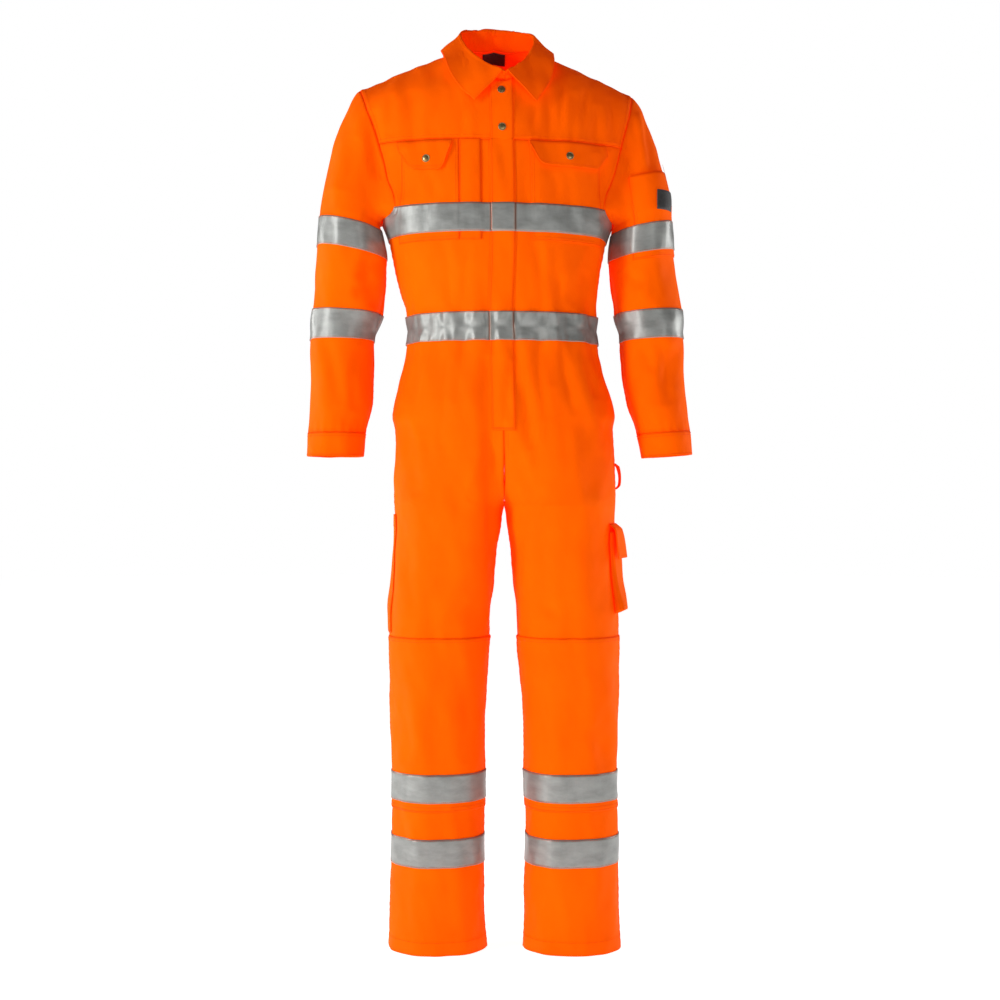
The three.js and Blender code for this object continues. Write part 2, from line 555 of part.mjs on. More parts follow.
function collarSurface(u, v) {
  const seam = Math.abs(u);
  const side = u < 0 ? 1 : -1;
  const read = (column) => valueAt(COLLAR_SECTIONS, column, seam, "seam");
  const turn = radians(read("edgeTurn"));
  const edgeShare = read("edgeX") / yokeArmholeX(turn);
  const edge = shoulderArch(edgeShare, turn)
    .addScaledVector(outwardAt(shoulderArch, edgeShare, turn), read("lift"));
  const roll = point(read("rollX"), read("rollY"), read("rollH"));
  const outward = edge.clone().sub(roll).setZ(0).normalize();
  const inside = roll.clone().addScaledVector(outward, -COLLAR_ROLL_WIDTH / 2);
  const outside = roll.clone().addScaledVector(outward, COLLAR_ROLL_WIDTH / 2);
  const base = necklinePoint(seam);
  const over = (v - COLLAR_ROLL_START) / (COLLAR_ROLL_END - COLLAR_ROLL_START);
  let p = inside.clone().lerp(outside, over).add(point(0, 0, COLLAR_ROLL_RISE * Math.sin(Math.PI * over)));
  if (v < COLLAR_ROLL_START) p = base.lerp(inside, v / COLLAR_ROLL_START);
  if (v > COLLAR_ROLL_END) p = outside.lerp(edge, (v - COLLAR_ROLL_END) / (1 - COLLAR_ROLL_END));
  return point(p.x * side + COLLAR_SHIFT * (seam / 2) ** 4, p.y, p.z);
}

function necklinePoint(seam) {
  const face = seam > 1 ? "front" : "back";
  const share = NECK_SHARE * (seam > 1 ? 2 - seam : seam);
  return yokeArch(face, share, yokeEndAngle(face, share));
}

// The place at the neckline from which the collar rises, just past the yoke's edge
function necklinePlace(u) {
  const seam = Math.abs(u);
  const front = seam > 1;
  const share = Math.max(NECK_SHARE * (front ? 2 - seam : seam), HALF_GAP / SHOULDER_TIP_X);
  const place = { surface: front ? yokeFront : yokeBack, u: front ? share : -share, v: 1, mirror: u > 0 };
  const along = necklinePoint(seam + 0.02).sub(necklinePoint(seam - 0.02));
  const past = along.cross(outwardAt(place.surface, place.u, 1)).normalize();
  return { ...place, shift: past.multiplyScalar(2 * GAP) };
}

// Materials

const finish = (color, roughness, metalness = 0) => new THREE.MeshStandardMaterial({ color, roughness, metalness });
const ORANGE_TWILL = finish(0xff5f0a, 0.85);
const REFLECTIVE_TAPE = finish(0x8e918f, 0.45, 0.2);
const DARK_WEAVE = finish(0x17120f, 0.8);
const ANTIQUE_BRASS = finish(0x9a7540, 0.35, 0.9);

const suit = new THREE.Group();

function add(name, geometry, material = ORANGE_TWILL) {
  const mesh = new THREE.Mesh(geometry, material);
  mesh.name = name;
  suit.add(mesh);
}

// The same piece on both sides of the wearer
function addPair(name, places, options, material) {
  add(`${name}_left`, clothWall(places, options), material);
  add(`${name}_right`, clothWall(inMirror(places), options), material);
}

const between = (list, from, to) => list.filter((value) => value >= from - 1e-6 && value <= to + 1e-6);

// Trousers: a front and a back panel to each leg, and a pocket over each knee and shin
const LEG_TAPES = [{ name: "lower", from: 153, to: 203 }, { name: "upper", from: 266, to: 316 }];
const WAIST_TAPE = { from: 1066, to: 1116 };
const TROUSER_ROWS = [
  0, 76, 153, 203, 250, 266, 316, 363, 410, 458, 506, 554, 606, 658, 706, 746, 768, 780, 786, 798, 820,
  864, 912, 962, 1014, 1066, WAIST_HEIGHT - HALF_GAP,
];
const TROUSER_FRONT_COLUMNS = [0, ...steps(9, FLY_COLUMN, 1)];
const TROUSER_BACK_COLUMNS = steps(10);

const legFront = (from, to) => placesOn(trouserFront, TROUSER_FRONT_COLUMNS, between(TROUSER_ROWS, from, to));
const legBack = (from, to) => placesOn(trouserBack, TROUSER_BACK_COLUMNS, between(TROUSER_ROWS, from, to));

function addTrousers() {
  addPair("trouser_front", legFront(0, WAIST_HEIGHT));
  addPair("trouser_back", legBack(0, WAIST_HEIGHT));
  addPair("knee_pocket", legFront(KNEE_POCKET_END_HEIGHT, KNEE_SEAM_HEIGHT), { out: ON_PANEL });
}

// A tape goes all round a leg, over the knee pocket in front, with its ends at the inseam
function addLegTapes() {
  const overPocket = ({ surface, v }) => surface === trouserFront && v > KNEE_POCKET_END_HEIGHT;
  const out = (place) => (overPocket(place) ? ON_POCKET : ON_PANEL);
  for (const { name, from, to } of LEG_TAPES) {
    const front = placesOn(trouserFront, TROUSER_FRONT_COLUMNS, [from, to]);
    const back = placesOn(trouserBack, TROUSER_BACK_COLUMNS.slice(1), [from, to]);
    addPair(`leg_tape_${name}`, joined(front, back), { out, thick: TAPE_CLOTH }, REFLECTIVE_TAPE);
  }
}

// Pockets on the outer sides of the thighs, each a table of how far it stands out, from its lower edge up.
// They are given by the angle from the side seam, with the front below 0.
const THIGH_POCKET = { from: -0.5, to: 0.95 };
const THIGH_POCKET_ROWS = [
  { h: 594, stands: 0 },
  { h: 600, stands: 15 },
  { h: 650, stands: 10 },
  { h: 700, stands: 8 },
  { h: 738, stands: 5 },
];
const THIGH_FLAP = { from: -0.54, to: 0.99 };
const THIGH_FLAP_ROWS = [
  { h: 690, stands: 16 },
  { h: 716, stands: 14 },
  { h: 742, stands: 9 },
  { h: 752, stands: -1.8 },
];
const RULER_POCKET = { from: -0.36, to: 0.42, bottom: 560, top: 768 };
const THIGH_LOOP = { from: -0.1, to: 0.2 };
const THIGH_LOOP_ROWS = [
  { h: 812, stands: 0 },
  { h: 819, stands: 7 },
  { h: 835, stands: 9 },
  { h: 851, stands: 7 },
  { h: 858, stands: 0 },
];
const CLEAR_OF_PANEL = ON_PANEL + 1;

// A pocket that stands out more in its middle than along its sides
function standingPlaces({ from, to }, rows) {
  const rim = 0.05;
  return placesOn(trouserSide, [from, from + rim, ...steps(4, mix(from, to, 0.2), mix(from, to, 0.8)), to - rim, to],
    rows.map(({ h }) => h));
}

function standingOut({ from, to }, rows) {
  return ({ u, v }) => {
    const atSide = u < from + 0.02 || u > to - 0.02;
    return CLEAR_OF_PANEL + (atSide ? 0 : valueAt(rows, "stands", v));
  };
}

function addThighPockets() {
  add("thigh_pocket", clothWall(standingPlaces(THIGH_POCKET, THIGH_POCKET_ROWS), {
    out: standingOut(THIGH_POCKET, THIGH_POCKET_ROWS),
  }));
  add("thigh_pocket_flap", clothWall(placesOn(trouserSide, steps(6, THIGH_FLAP.from, THIGH_FLAP.to),
    THIGH_FLAP_ROWS.map(({ h }) => h)), {
    out: ({ v }) => CLEAR_OF_PANEL + CLOTH + GAP + valueAt(THIGH_FLAP_ROWS, "stands", v),
    thick: FLAP_CLOTH,
  }));
  const { from, to, bottom, top } = RULER_POCKET;
  add("ruler_pocket", clothWall(inMirror(placesOn(trouserSide, steps(4, from, to), steps(5, bottom, top))), {
    out: CLEAR_OF_PANEL,
  }));
  const loopAcross = [THIGH_LOOP.from, THIGH_LOOP.to];
  add("thigh_loop", clothWall(placesOn(trouserSide, loopAcross, THIGH_LOOP_ROWS.map(({ h }) => h)), {
    out: ({ v }) => CLEAR_OF_PANEL + valueAt(THIGH_LOOP_ROWS, "stands", v),
  }));
}

// Bodice and yokes
const CHEST_TAPE = { from: 1250, to: 1299 };
const BODICE_ROWS = [
  WAIST_HEIGHT + HALF_GAP, WAIST_TAPE.to, 1152, 1194, POCKET_END_HEIGHT, CHEST_TAPE.from, 1268,
  ...ARMHOLE_HEIGHTS.slice(0, -1), YOKE_HEIGHT - HALF_GAP,
];
const FRONT_COLUMNS = [HALF_GAP, PLACKET_HALF_WIDTH, 36, 48, 73, 106, 139, POCKET_EDGE, 186, BODICE_EDGE];
const BACK_COLUMNS = steps(16, -1, 1);
const PLACKET_SHARE = PLACKET_HALF_WIDTH / 225;
const NECK_PLACES = [PLACKET_SHARE / NECK_SHARE, 0.55, 0.78, 0.92, 1];
const YOKE_HALF = [...NECK_PLACES.map((place) => place * NECK_SHARE), ...steps(4, NECK_SHARE, 1).slice(1)];
const YOKE_FRONT_COLUMNS = [HALF_GAP / SHOULDER_TIP_X, ...YOKE_HALF];
const YOKE_BACK_COLUMNS = [...YOKE_HALF.map((share) => -share).reverse(), 0, ...YOKE_HALF];
const YOKE_ROWS = steps(ARMHOLE_YOKE_STEPS);

const bodicePlaces = (surface, columns, { from, to }) => placesOn(surface, columns, between(BODICE_ROWS, from, to));

function addBodice() {
  const whole = { from: WAIST_HEIGHT, to: YOKE_HEIGHT };
  addPair("bodice_front", bodicePlaces(bodiceFront, FRONT_COLUMNS, whole));
  add("bodice_back", clothWall(bodicePlaces(bodiceBack, BACK_COLUMNS, whole)));
  addPair("yoke_front", placesOn(yokeFront, YOKE_FRONT_COLUMNS, YOKE_ROWS));
  add("yoke_back", clothWall(placesOn(yokeBack, YOKE_BACK_COLUMNS, YOKE_ROWS)));
}

// The placket covers the zip from the neck to the end of the fly. It takes the panels' own rows, with one
// column on each side and one in the middle.
function placketRow(surface, edge, seam, v) {
  const side = { surface, u: edge, v };
  return [{ ...side, mirror: true }, { surface, u: seam, v, middle: true }, side];
}

function addPlacket() {
  const trouserRows = between(TROUSER_ROWS, FLY_END_HEIGHT, WAIST_TAPE.from);
  const places = [
    ...trouserRows.map((h) => placketRow(trouserFront, FLY_COLUMN, 0, h)),
    ...BODICE_ROWS.slice(0, -1).map((h) => placketRow(bodiceFront, PLACKET_HALF_WIDTH, HALF_GAP, h)),
    ...YOKE_ROWS.map((v) => placketRow(yokeFront, PLACKET_SHARE, YOKE_FRONT_COLUMNS[0], Math.min(v, 0.95))),
  ];
  add("placket", clothWall(places, { out: ON_PANEL, thick: FLAP_CLOTH }));
}

// Chest pockets, sewn into the yoke seam, with their flaps and a pen pocket beside the right one
const CHEST_POCKET = { from: POCKET_END_HEIGHT, to: YOKE_HEIGHT };
const LEFT_FLAP = [
  { topX: 45, topH: 1408, lowX: 48, lowH: 1400 },
  { topX: 72, topH: 1408, lowX: 70, lowH: 1366 },
  { topX: 115, topH: 1408, lowX: 115, lowH: 1364 },
  { topX: 158, topH: 1408, lowX: 160, lowH: 1364 },
  { topX: 181, topH: 1408, lowX: 184, lowH: 1390 },
];
const RIGHT_FLAP = [
  { topX: -179, topH: 1408, lowX: -173, lowH: 1388 },
  { topX: -160, topH: 1408, lowX: -150, lowH: 1359 },
  { topX: -128, topH: 1408, lowX: -128, lowH: 1357 },
  { topX: -104, topH: 1408, lowX: -106, lowH: 1356 },
  { topX: -85, topH: 1408, lowX: -87, lowH: 1399 },
];

// A flap fills the space between its upper and its lower line, on the bodice front
const flapSurface = (lines) => {
  const rows = lines.map((line, step) => ({ ...line, step }));
  return (u, v) => {
    const read = (column) => valueAt(rows, column, u, "step");
    const x = mix(read("lowX"), read("topX"), v);
    const h = mix(read("lowH"), read("topH"), v);
    return bodiceRing("front", h, Math.sign(x) * angleOfSin(Math.abs(x) / valueAt(BODICE_SECTIONS, "half", h)));
  };
};

function addChestPockets() {
  const left = bodicePlaces(bodiceFront, between(FRONT_COLUMNS, 48, POCKET_EDGE), CHEST_POCKET);
  const right = bodicePlaces(bodiceFront, between(FRONT_COLUMNS, 73, POCKET_EDGE), CHEST_POCKET);
  const pen = bodicePlaces(bodiceFront, between(FRONT_COLUMNS, 36, 73), CHEST_POCKET);
  pen.forEach((row) => { row[row.length - 1] = { ...row[row.length - 1], shift: point(-GAP, 0, 0) }; });
  add("chest_pocket_left", clothWall(left, { out: ON_PANEL }));
  add("chest_pocket_right", clothWall(inMirror(right), { out: ON_PANEL }));
  add("pen_pocket", clothWall(inMirror(pen), { out: ON_PANEL }));
  for (const [side, lines] of [["left", LEFT_FLAP], ["right", RIGHT_FLAP]]) {
    const places = placesOn(flapSurface(lines), steps(8, 0, 4), steps(2));
    const out = ({ v }) => ON_POCKET + 0.6 + 3 * (1 - v);
    add(`chest_flap_${side}`, clothWall(places, { out, thick: FLAP_CLOTH }));
  }
}

// Tapes round the chest, with one piece on the placket, two beside it and one on the back
function addChestTapes() {
  const fade = ({ u }) => mix(ON_POCKET, ON_PANEL + 1, ease((u - POCKET_EDGE) / (BODICE_EDGE - POCKET_EDGE)));
  const beside = FRONT_COLUMNS.slice(1).map((u, k) => (k === 0 ? u + GAP : u));
  const options = { out: ON_PANEL, thick: TAPE_CLOTH };
  // Beside the armhole a tape ends a little before the sleeve's seam
  const clipped = (places, end, within) => places.map((row) => row.map((place) => {
    const atEnd = Math.abs(place.u) === end && place.v >= UNDERARM_HEIGHT;
    return atEnd ? { ...place, u: place.u * within } : place;
  }));
  const front = clipped(bodicePlaces(bodiceFront, beside, CHEST_TAPE), BODICE_EDGE, 0.95);
  const back = clipped(bodicePlaces(bodiceBack, BACK_COLUMNS, CHEST_TAPE), 1, 0.8755);
  addPair("chest_tape", front, { ...options, out: fade }, REFLECTIVE_TAPE);
  add("chest_tape_back", clothWall(back, { ...options, out: ON_PANEL + 1.95 }), REFLECTIVE_TAPE);
  const middle = between(BODICE_ROWS, CHEST_TAPE.from, CHEST_TAPE.to)
    .map((h) => placketRow(bodiceFront, PLACKET_HALF_WIDTH, HALF_GAP, h));
  add("chest_tape_placket", clothWall(middle, { ...options, out: ON_PLACKET }), REFLECTIVE_TAPE);
}

// Tapes round the waist, over the seam that holds the gathers. u is the angle from the middle.
const waistFront = (u, h) => (h >= WAIST_HEIGHT ? bodiceRing("front", h, u) : trouserRing(h, Math.PI / 2 - u));
const waistBack = (u, h) => (h >= WAIST_HEIGHT ? bodiceRing("back", h, -u) : trouserRing(h, -Math.PI / 2 - u));

function addWaistTapes() {
  const rows = [WAIST_TAPE.from, WAIST_HEIGHT, WAIST_TAPE.to];
  const clear = { out: ON_PANEL + 2, thick: TAPE_CLOTH };
  const start = angleOfSin((PLACKET_HALF_WIDTH + GAP) / 164);
  addPair("waist_tape", placesOn(waistFront, steps(10, start, SIDE_SEAM_ANGLE), rows), clear, REFLECTIVE_TAPE);
  const back = placesOn(waistBack, steps(10, -SIDE_SEAM_ANGLE, 0), rows);
  const whole = joined(back, inMirror(back).map((row) => row.slice(1)));
  add("waist_tape_back", clothWall(whole, clear), REFLECTIVE_TAPE);
  const middle = rows.map((h) => placketRow(waistFront, angleOfSin(PLACKET_HALF_WIDTH / 164), 0, h));
  add("waist_tape_placket", clothWall(middle, { ...clear, out: ON_PLACKET + 0.4 }), REFLECTIVE_TAPE);
}

// Sleeves, cuffs and their tapes. The left sleeve has a pocket under its upper tape.
const SLEEVE_TAPES = [{ name: "upper", from: 1278, to: 1229 }, { name: "lower", from: 1127, to: 1076 }];
const SLEEVE_POCKET = { from: 12, to: 18, end: 1217 };
const SLEEVE_HEAD_ROWS = [0.15, 0.38, 0.68, 1];
const SLEEVE_ARM_HEIGHTS = [1278, 1229, SLEEVE_POCKET.end, 1170, 1127, 1076, 1032, 992, 952, CUFF_TOP_HEIGHT];
const SLEEVE_COLUMNS = steps(2 * ARMHOLE_STEPS);

const armholeRow = SLEEVE_COLUMNS.map((u) => (u > 0.5
  ? armholePlace("front", 2 * (1 - u))
  : armholePlace("back", 2 * u)));

// The place on a surface at a given distance across and height, found from a place near it
function placeAt(surface, x, h, near) {
  let { u, v } = near;
  const tiny = 1e-4;
  for (let round = 0; round < 12; round += 1) {
    const p = surface(u, v);
    const byU = surface(u + tiny, v).sub(p).divideScalar(tiny);
    const byV = surface(u, v + tiny).sub(p).divideScalar(tiny);
    const area = byU.x * byV.z - byU.z * byV.x;
    u += ((x - p.x) * byV.z - (h - p.z) * byV.x) / area;
    v += ((h - p.z) * byU.x - (x - p.x) * byU.z) / area;
  }
  return { surface, u, v };
}

function sleevePocketPlaces() {
  const columns = SLEEVE_COLUMNS.slice(SLEEVE_POCKET.from, SLEEVE_POCKET.to + 1);
  const above = [{ rise: 74, inward: 9 }, { rise: 36, inward: 4 }].map(({ rise, inward }) => columns.map((u) => {
    const p = leftSleeve(u, 1);
    return placeAt(leftSleeve, p.x - inward, p.z + rise, { u, v: 0.8 });
  }));
  return [...above, ...placesOn(leftSleeve, columns, [1, ...[1278, 1229, SLEEVE_POCKET.end].map(sleeveV)])];
}

function addSleeve(side, surface) {
  const onSide = (places) => (side === "right" ? inMirror(places) : places);
  const armRows = SLEEVE_ARM_HEIGHTS.map(sleeveV);
  const sleeve = [armholeRow, ...placesOn(surface, SLEEVE_COLUMNS, [...SLEEVE_HEAD_ROWS, ...armRows])];
  add(`sleeve_${side}`, clothWall(onSide(sleeve)));
  const cuff = placesOn(surface, SLEEVE_COLUMNS, [sleeveV(CUFF_TOP_HEIGHT - GAP), 2]);
  add(`cuff_${side}`, clothWall(onSide(cuff), { thick: 2 * CLOTH }));
  for (const { name, from, to } of SLEEVE_TAPES) {
    const tape = placesOn(surface, SLEEVE_COLUMNS, [from, to].map(sleeveV));
    const pocketed = side === "left" && name === "upper";
    const overPocket = ({ u }) => u > SLEEVE_COLUMNS[SLEEVE_POCKET.from - 1] && u < SLEEVE_COLUMNS[SLEEVE_POCKET.to + 1];
    const out = (place) => (pocketed && overPocket(place) ? ON_POCKET : ON_PANEL);
    add(`sleeve_tape_${name}_${side}`, clothWall(onSide(tape), { out, thick: TAPE_CLOTH }), REFLECTIVE_TAPE);
  }
}

function addSleevePocket() {
  const atHead = ({ v }) => (v < 1 ? ON_PANEL + 2 : ON_PANEL);
  add("sleeve_pocket", clothWall(sleevePocketPlaces(), { out: atHead }));
  const rows = [1335, 1301].map((h) => [299, 285, 272].map((x) => (
    placeAt(leftSleeve, x, h, { u: 0.68, v: 0.8 })
  )));
  add("sleeve_label", clothWall(rows, { out: ON_POCKET + 3.6, thick: TAPE_CLOTH }), DARK_WEAVE);
}

// Collar, and the label inside the back of the neck
const COLLAR_ROLL_START = 0.42;
const COLLAR_ROLL_END = 0.58;

function addCollar() {
  const half = [...NECK_PLACES, ...NECK_PLACES.slice(0, -1).map((place) => 2 - place).reverse(), 2];
  const columns = [...half.map((seam) => -seam).reverse(), 0, ...half];
  const first = columns.map((u) => necklinePlace(u));
  const rest = placesOn(collarSurface, columns, [0.2, 0.42, 0.46, 0.5, 0.54, 0.58, 0.75, 1])
    .map((row) => row.map((place) => ({ ...place, flat: true })));
  const out = ({ surface }) => (surface === collarSurface ? 0 : CLOTH - COLLAR_CLOTH);
  add("collar", clothWall([first, ...rest], { out, thick: COLLAR_CLOTH }));
  const label = placesOn(yokeBack, steps(2, -0.09, 0.09), [0.86, 0.99]);
  add("neck_label", clothWall(label, { out: -1.6 - TAPE_CLOTH, thick: TAPE_CLOTH }), DARK_WEAVE);
}

// Brass studs on the placket and on the chest flaps, each standing square to the cloth
const STUD = { radius: 6.8, topRadius: 5.6, height: 2.6 };

function addStud(name, place, out) {
  const foot = stand(clothPoint(place, out + GAP));
  const head = stand(clothPoint(place, out + GAP + 10));
  const axis = head.sub(foot).normalize();
  const stud = new THREE.CylinderGeometry(STUD.topRadius, STUD.radius, STUD.height, 16);
  stud.translate(0, STUD.height / 2, 0);
  stud.applyQuaternion(new THREE.Quaternion().setFromUnitVectors(new THREE.Vector3(0, 1, 0), axis));
  stud.translate(foot.x, foot.y, foot.z);
  add(name, stud, ANTIQUE_BRASS);
}

function addStuds() {
  const onPlacket = ON_PANEL + FLAP_CLOTH;
  const onFlap = ON_POCKET + 0.6 + FLAP_CLOTH + 2;
  const middle = (v) => ({ surface: yokeFront, u: 0, v, middle: true });
  addStud("stud_neck", middle(0.78), onPlacket);
  addStud("stud_chest", middle(0.18), onPlacket);
  addStud("stud_flap_left", { surface: flapSurface(LEFT_FLAP), u: 2, v: 0.42 }, onFlap);
  addStud("stud_flap_right", { surface: flapSurface(RIGHT_FLAP), u: 2, v: 0.36 }, onFlap);
}

addTrousers();
addLegTapes();
addThighPockets();
addBodice();
addPlacket();
addChestPockets();
addChestTapes();
addWaistTapes();
addSleeve("left", leftSleeve);
addSleeve("right", rightSleeve);
addSleevePocket();
addCollar();
addStuds();

export default suit;
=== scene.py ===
import math

import bpy
import numpy as np
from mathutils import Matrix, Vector


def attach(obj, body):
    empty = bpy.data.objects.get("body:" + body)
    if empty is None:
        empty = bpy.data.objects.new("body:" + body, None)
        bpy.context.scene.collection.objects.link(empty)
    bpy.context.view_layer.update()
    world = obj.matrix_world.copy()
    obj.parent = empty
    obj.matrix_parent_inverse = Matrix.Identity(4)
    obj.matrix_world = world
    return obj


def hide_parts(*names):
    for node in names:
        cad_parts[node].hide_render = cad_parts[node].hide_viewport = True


np.seterr(all="ignore")
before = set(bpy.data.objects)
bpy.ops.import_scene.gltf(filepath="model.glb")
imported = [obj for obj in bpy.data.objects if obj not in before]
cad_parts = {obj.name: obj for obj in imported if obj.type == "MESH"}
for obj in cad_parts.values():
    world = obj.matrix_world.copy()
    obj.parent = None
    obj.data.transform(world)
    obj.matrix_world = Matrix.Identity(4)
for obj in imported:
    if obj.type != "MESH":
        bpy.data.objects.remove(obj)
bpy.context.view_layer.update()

# An orange hi-vis boiler suit, worn by nobody: hollow, zipped and studded up, arms hanging.
# The tables are in millimetres, and h is a height above the trouser hem. The front faces -Y, and +X is
# the wearer's left. Finished points are in metres, with the origin on the shoulder line.

# Heights of the seams and edges
SHOULDER_HEIGHT = 1550
FRONT_NECK_HEIGHT = 1519
YOKE_HEIGHT = 1410
UNDERARM_HEIGHT = 1283
WAIST_HEIGHT = 1091
FLY_END_HEIGHT = 912
CROTCH_HEIGHT = 780
KNEE_SEAM_HEIGHT = 554
KNEE_POCKET_END_HEIGHT = 250
POCKET_END_HEIGHT = 1236
HEM_TURN_HEIGHT = 25

# Cloth and trim
CLOTH = 1.2
TAPE_CLOTH = 0.8
FLAP_CLOTH = 1.6
COLLAR_CLOTH = 2.0
GAP = 0.3
HALF_GAP = 0.03
PLACKET_HALF_WIDTH = 20
ON_PANEL = CLOTH + GAP
ON_POCKET = ON_PANEL + CLOTH + GAP
ON_PLACKET = ON_PANEL + FLAP_CLOTH + GAP
ROUNDNESS = 2.25


class Table:
    """Rows under named columns, read anywhere along the first on a smooth curve that never overshoots."""

    def __init__(self, names, rows):
        rows = np.array(sorted(rows), dtype=float)
        self.at = rows[:, 0]
        rise = np.diff(rows, axis=0) / np.diff(self.at)[:, None]
        before, after = rise[:-1], rise[1:]
        inner = np.where(before * after > 0, 2 * before * after / (before + after), 0)
        slopes = np.vstack([rise[:1], inner, rise[-1:]])
        self.values = {name: rows[:, k] for k, name in enumerate(names)}
        self.slopes = {name: slopes[:, k] for k, name in enumerate(names)}

    def read(self, name, at):
        at = np.asarray(at, dtype=float)
        k = np.clip(np.searchsorted(self.at, at, side="right") - 1, 0, len(self.at) - 2)
        values, slopes = self.values[name], self.slopes[name]
        span = self.at[k + 1] - self.at[k]
        t = (at - self.at[k]) / span
        inside = (
            (2 * t**3 - 3 * t**2 + 1) * values[k]
            + (t**3 - 2 * t**2 + t) * span * slopes[k]
            + (3 * t**2 - 2 * t**3) * values[k + 1]
            + (t**3 - t**2) * span * slopes[k + 1]
        )
        below = values[k] + slopes[k] * t * span
        above = values[k + 1] + slopes[k + 1] * (t - 1) * span
        return np.where(t < 0, below, np.where(t > 1, above, inside))


# Half of the trousers: the whole oval of one leg below the crotch, cut off by the middle plane above it
TROUSERS = Table(("h", "centre", "half", "front", "back", "middle"), [
    (0, 119, 85, 73, 74, 6),
    (63, 119.5, 82.5, 72, 75, 6),
    (170, 119, 81, 72, 76, 6),
    (277, 118, 80, 72, 80, 5),
    (437, 118.5, 82, 76, 86, 2),
    (490, 116.5, 84.5, 79, 88, 0),
    (544, 114.5, 87.5, 82, 90, 0),
    (597, 113.5, 88.5, 85, 93, 0),
    (650, 108, 89.5, 91, 100, 2),
    (704, 104, 90, 99, 110, 4),
    (750, 99.5, 94, 106, 119, 6),
    (780, 98.6, 96.8, 110, 124, 7),
    (815, 84, 112, 113, 130, 7),
    (864, 64, 129, 116, 136, 5),
    (917, 42, 150, 118, 138, 3),
    (944, 30, 166, 118, 136, 2),
    (971, 20, 170, 117, 132, 0),
    (998, 11, 171, 116, 126, 0),
    (1024, 5, 169.5, 115, 118, 0),
    (1051, 1, 167, 114, 110, 0),
    (1091, 0, 164, 112, 104, 0),
])
BODICE = Table(("h", "half", "front", "back"), [
    (1091, 164, 112, 104),
    (1125, 166, 115, 106),
    (1158, 174, 119, 110),
    (1211, 184, 124, 115),
    (1250, 191, 126, 118),
    (1283, 203, 125, 120),
    (1340, 216, 121, 122),
    (1410, 238, 110, 117),
])
ARMHOLE = Table(("h", "x"), [
    (1283, 203), (1286, 194), (1292, 185), (1304, 180), (1325, 185), (1345, 193), (1380, 204), (1410, 213),
])
ARMHOLE_HEIGHTS = [1283, 1288, 1299, 1322, 1352, 1382, 1410]
ARMHOLE_STEPS = 11
YOKE_SHARE = (len(ARMHOLE_HEIGHTS) - 1) / ARMHOLE_STEPS
ARMHOLE_ROWS = Table(("share", "h"), [(k / ARMHOLE_STEPS, h) for k, h in enumerate(ARMHOLE_HEIGHTS)])
SHOULDER_TIP_X = 242
SHOULDER_LINE = Table(("x", "h"), [(0, 1622), (80, 1592), (91, 1583), (142, 1559), (190, 1537), (242, 1516)])
SHOULDER_MIDDLE_Y = 7
NECK_SIDE_X = 80
BACK_NECK_RISE = 34
BACK_NECK_ANGLE = math.radians(55)
NECKLINE_CURVE = 2.2

SLEEVE_COLUMN_NAMES = ("h", "centre", "half", "depth", "middle", "tilt")
LEFT_SLEEVE = Table(SLEEVE_COLUMN_NAMES, [
    (1290, 259, 50, 75.9, 6, 12),
    (1238, 258.5, 54.8, 74.9, 8, 10),
    (1185, 259.5, 55.8, 71.9, 9, 7),
    (1131, 263.5, 55.9, 69.3, 8, 4),
    (1078, 267, 52.4, 65.8, 6, 3),
    (1024, 267.5, 52.4, 62.7, 2, 3),
    (971, 273, 50.4, 59.7, -3, 3),
    (917, 282, 44.6, 52.6, -10, 4),
    (870, 287, 41.1, 46, -15, 4),
])
RIGHT_SLEEVE = Table(SLEEVE_COLUMN_NAMES, [
    (1290, 261, 51.5, 75, 6, 13),
    (1238, 259, 59, 74, 8, 12),
    (1185, 263.5, 60, 71, 9, 8),
    (1131, 274, 59, 68, 8, 3),
    (1078, 284.5, 54.5, 65, 6, 1),
    (1024, 286, 54.5, 62, 2, 0),
    (971, 287.5, 54, 59, -3, 0),
    (917, 295, 49, 53, -10, 0),
    (870, 299, 47, 46, -15, 0),
])
SLEEVE_HEAD_END_HEIGHT = 1290
CUFF_TOP_HEIGHT = 912
CUFF_END_HEIGHT = 870

# The collar by its place along the neckline: seam is 0 at the middle of the back and 2 in front
COLLAR = Table(("seam", "roll_x", "roll_y", "roll_h", "edge_x", "edge_turn", "lift"), [
    (0, 0, 66, 1646, 0, 131, 9),
    (0.5, 40, 58, 1643, 60, 122, 9),
    (0.86, 62, 27, 1631, 89, 103, 9),
    (1.1, 66, -8, 1612, 95, 78, 9),
    (1.3, 57, -45, 1581, 91, 53, 9),
    (1.55, 36, -77, 1552, 80, 34, 8),
    (2, 4, -104, 1527, 53, 19.5, 7),
])
COLLAR_ROLL_WIDTH = 7
COLLAR_ROLL_RISE = 3.5
COLLAR_SHIFT = 7
COLLAR_ROLL_START = 0.42
COLLAR_ROLL_END = 0.58

# How the empty suit stands: the upper part leans and turns a little to one side
STANCE = Table(("h", "sway", "turn"), [
    (0, 6, 0), (437, 5, 0), (544, 3, 0), (700, 4.5, 0), (860, 5, 0), (971, 2.6, 0),
    (1091, 0, 0), (1250, -7, 4.5), (1420, -8, 4.5), (1660, -9, 4.5),
])

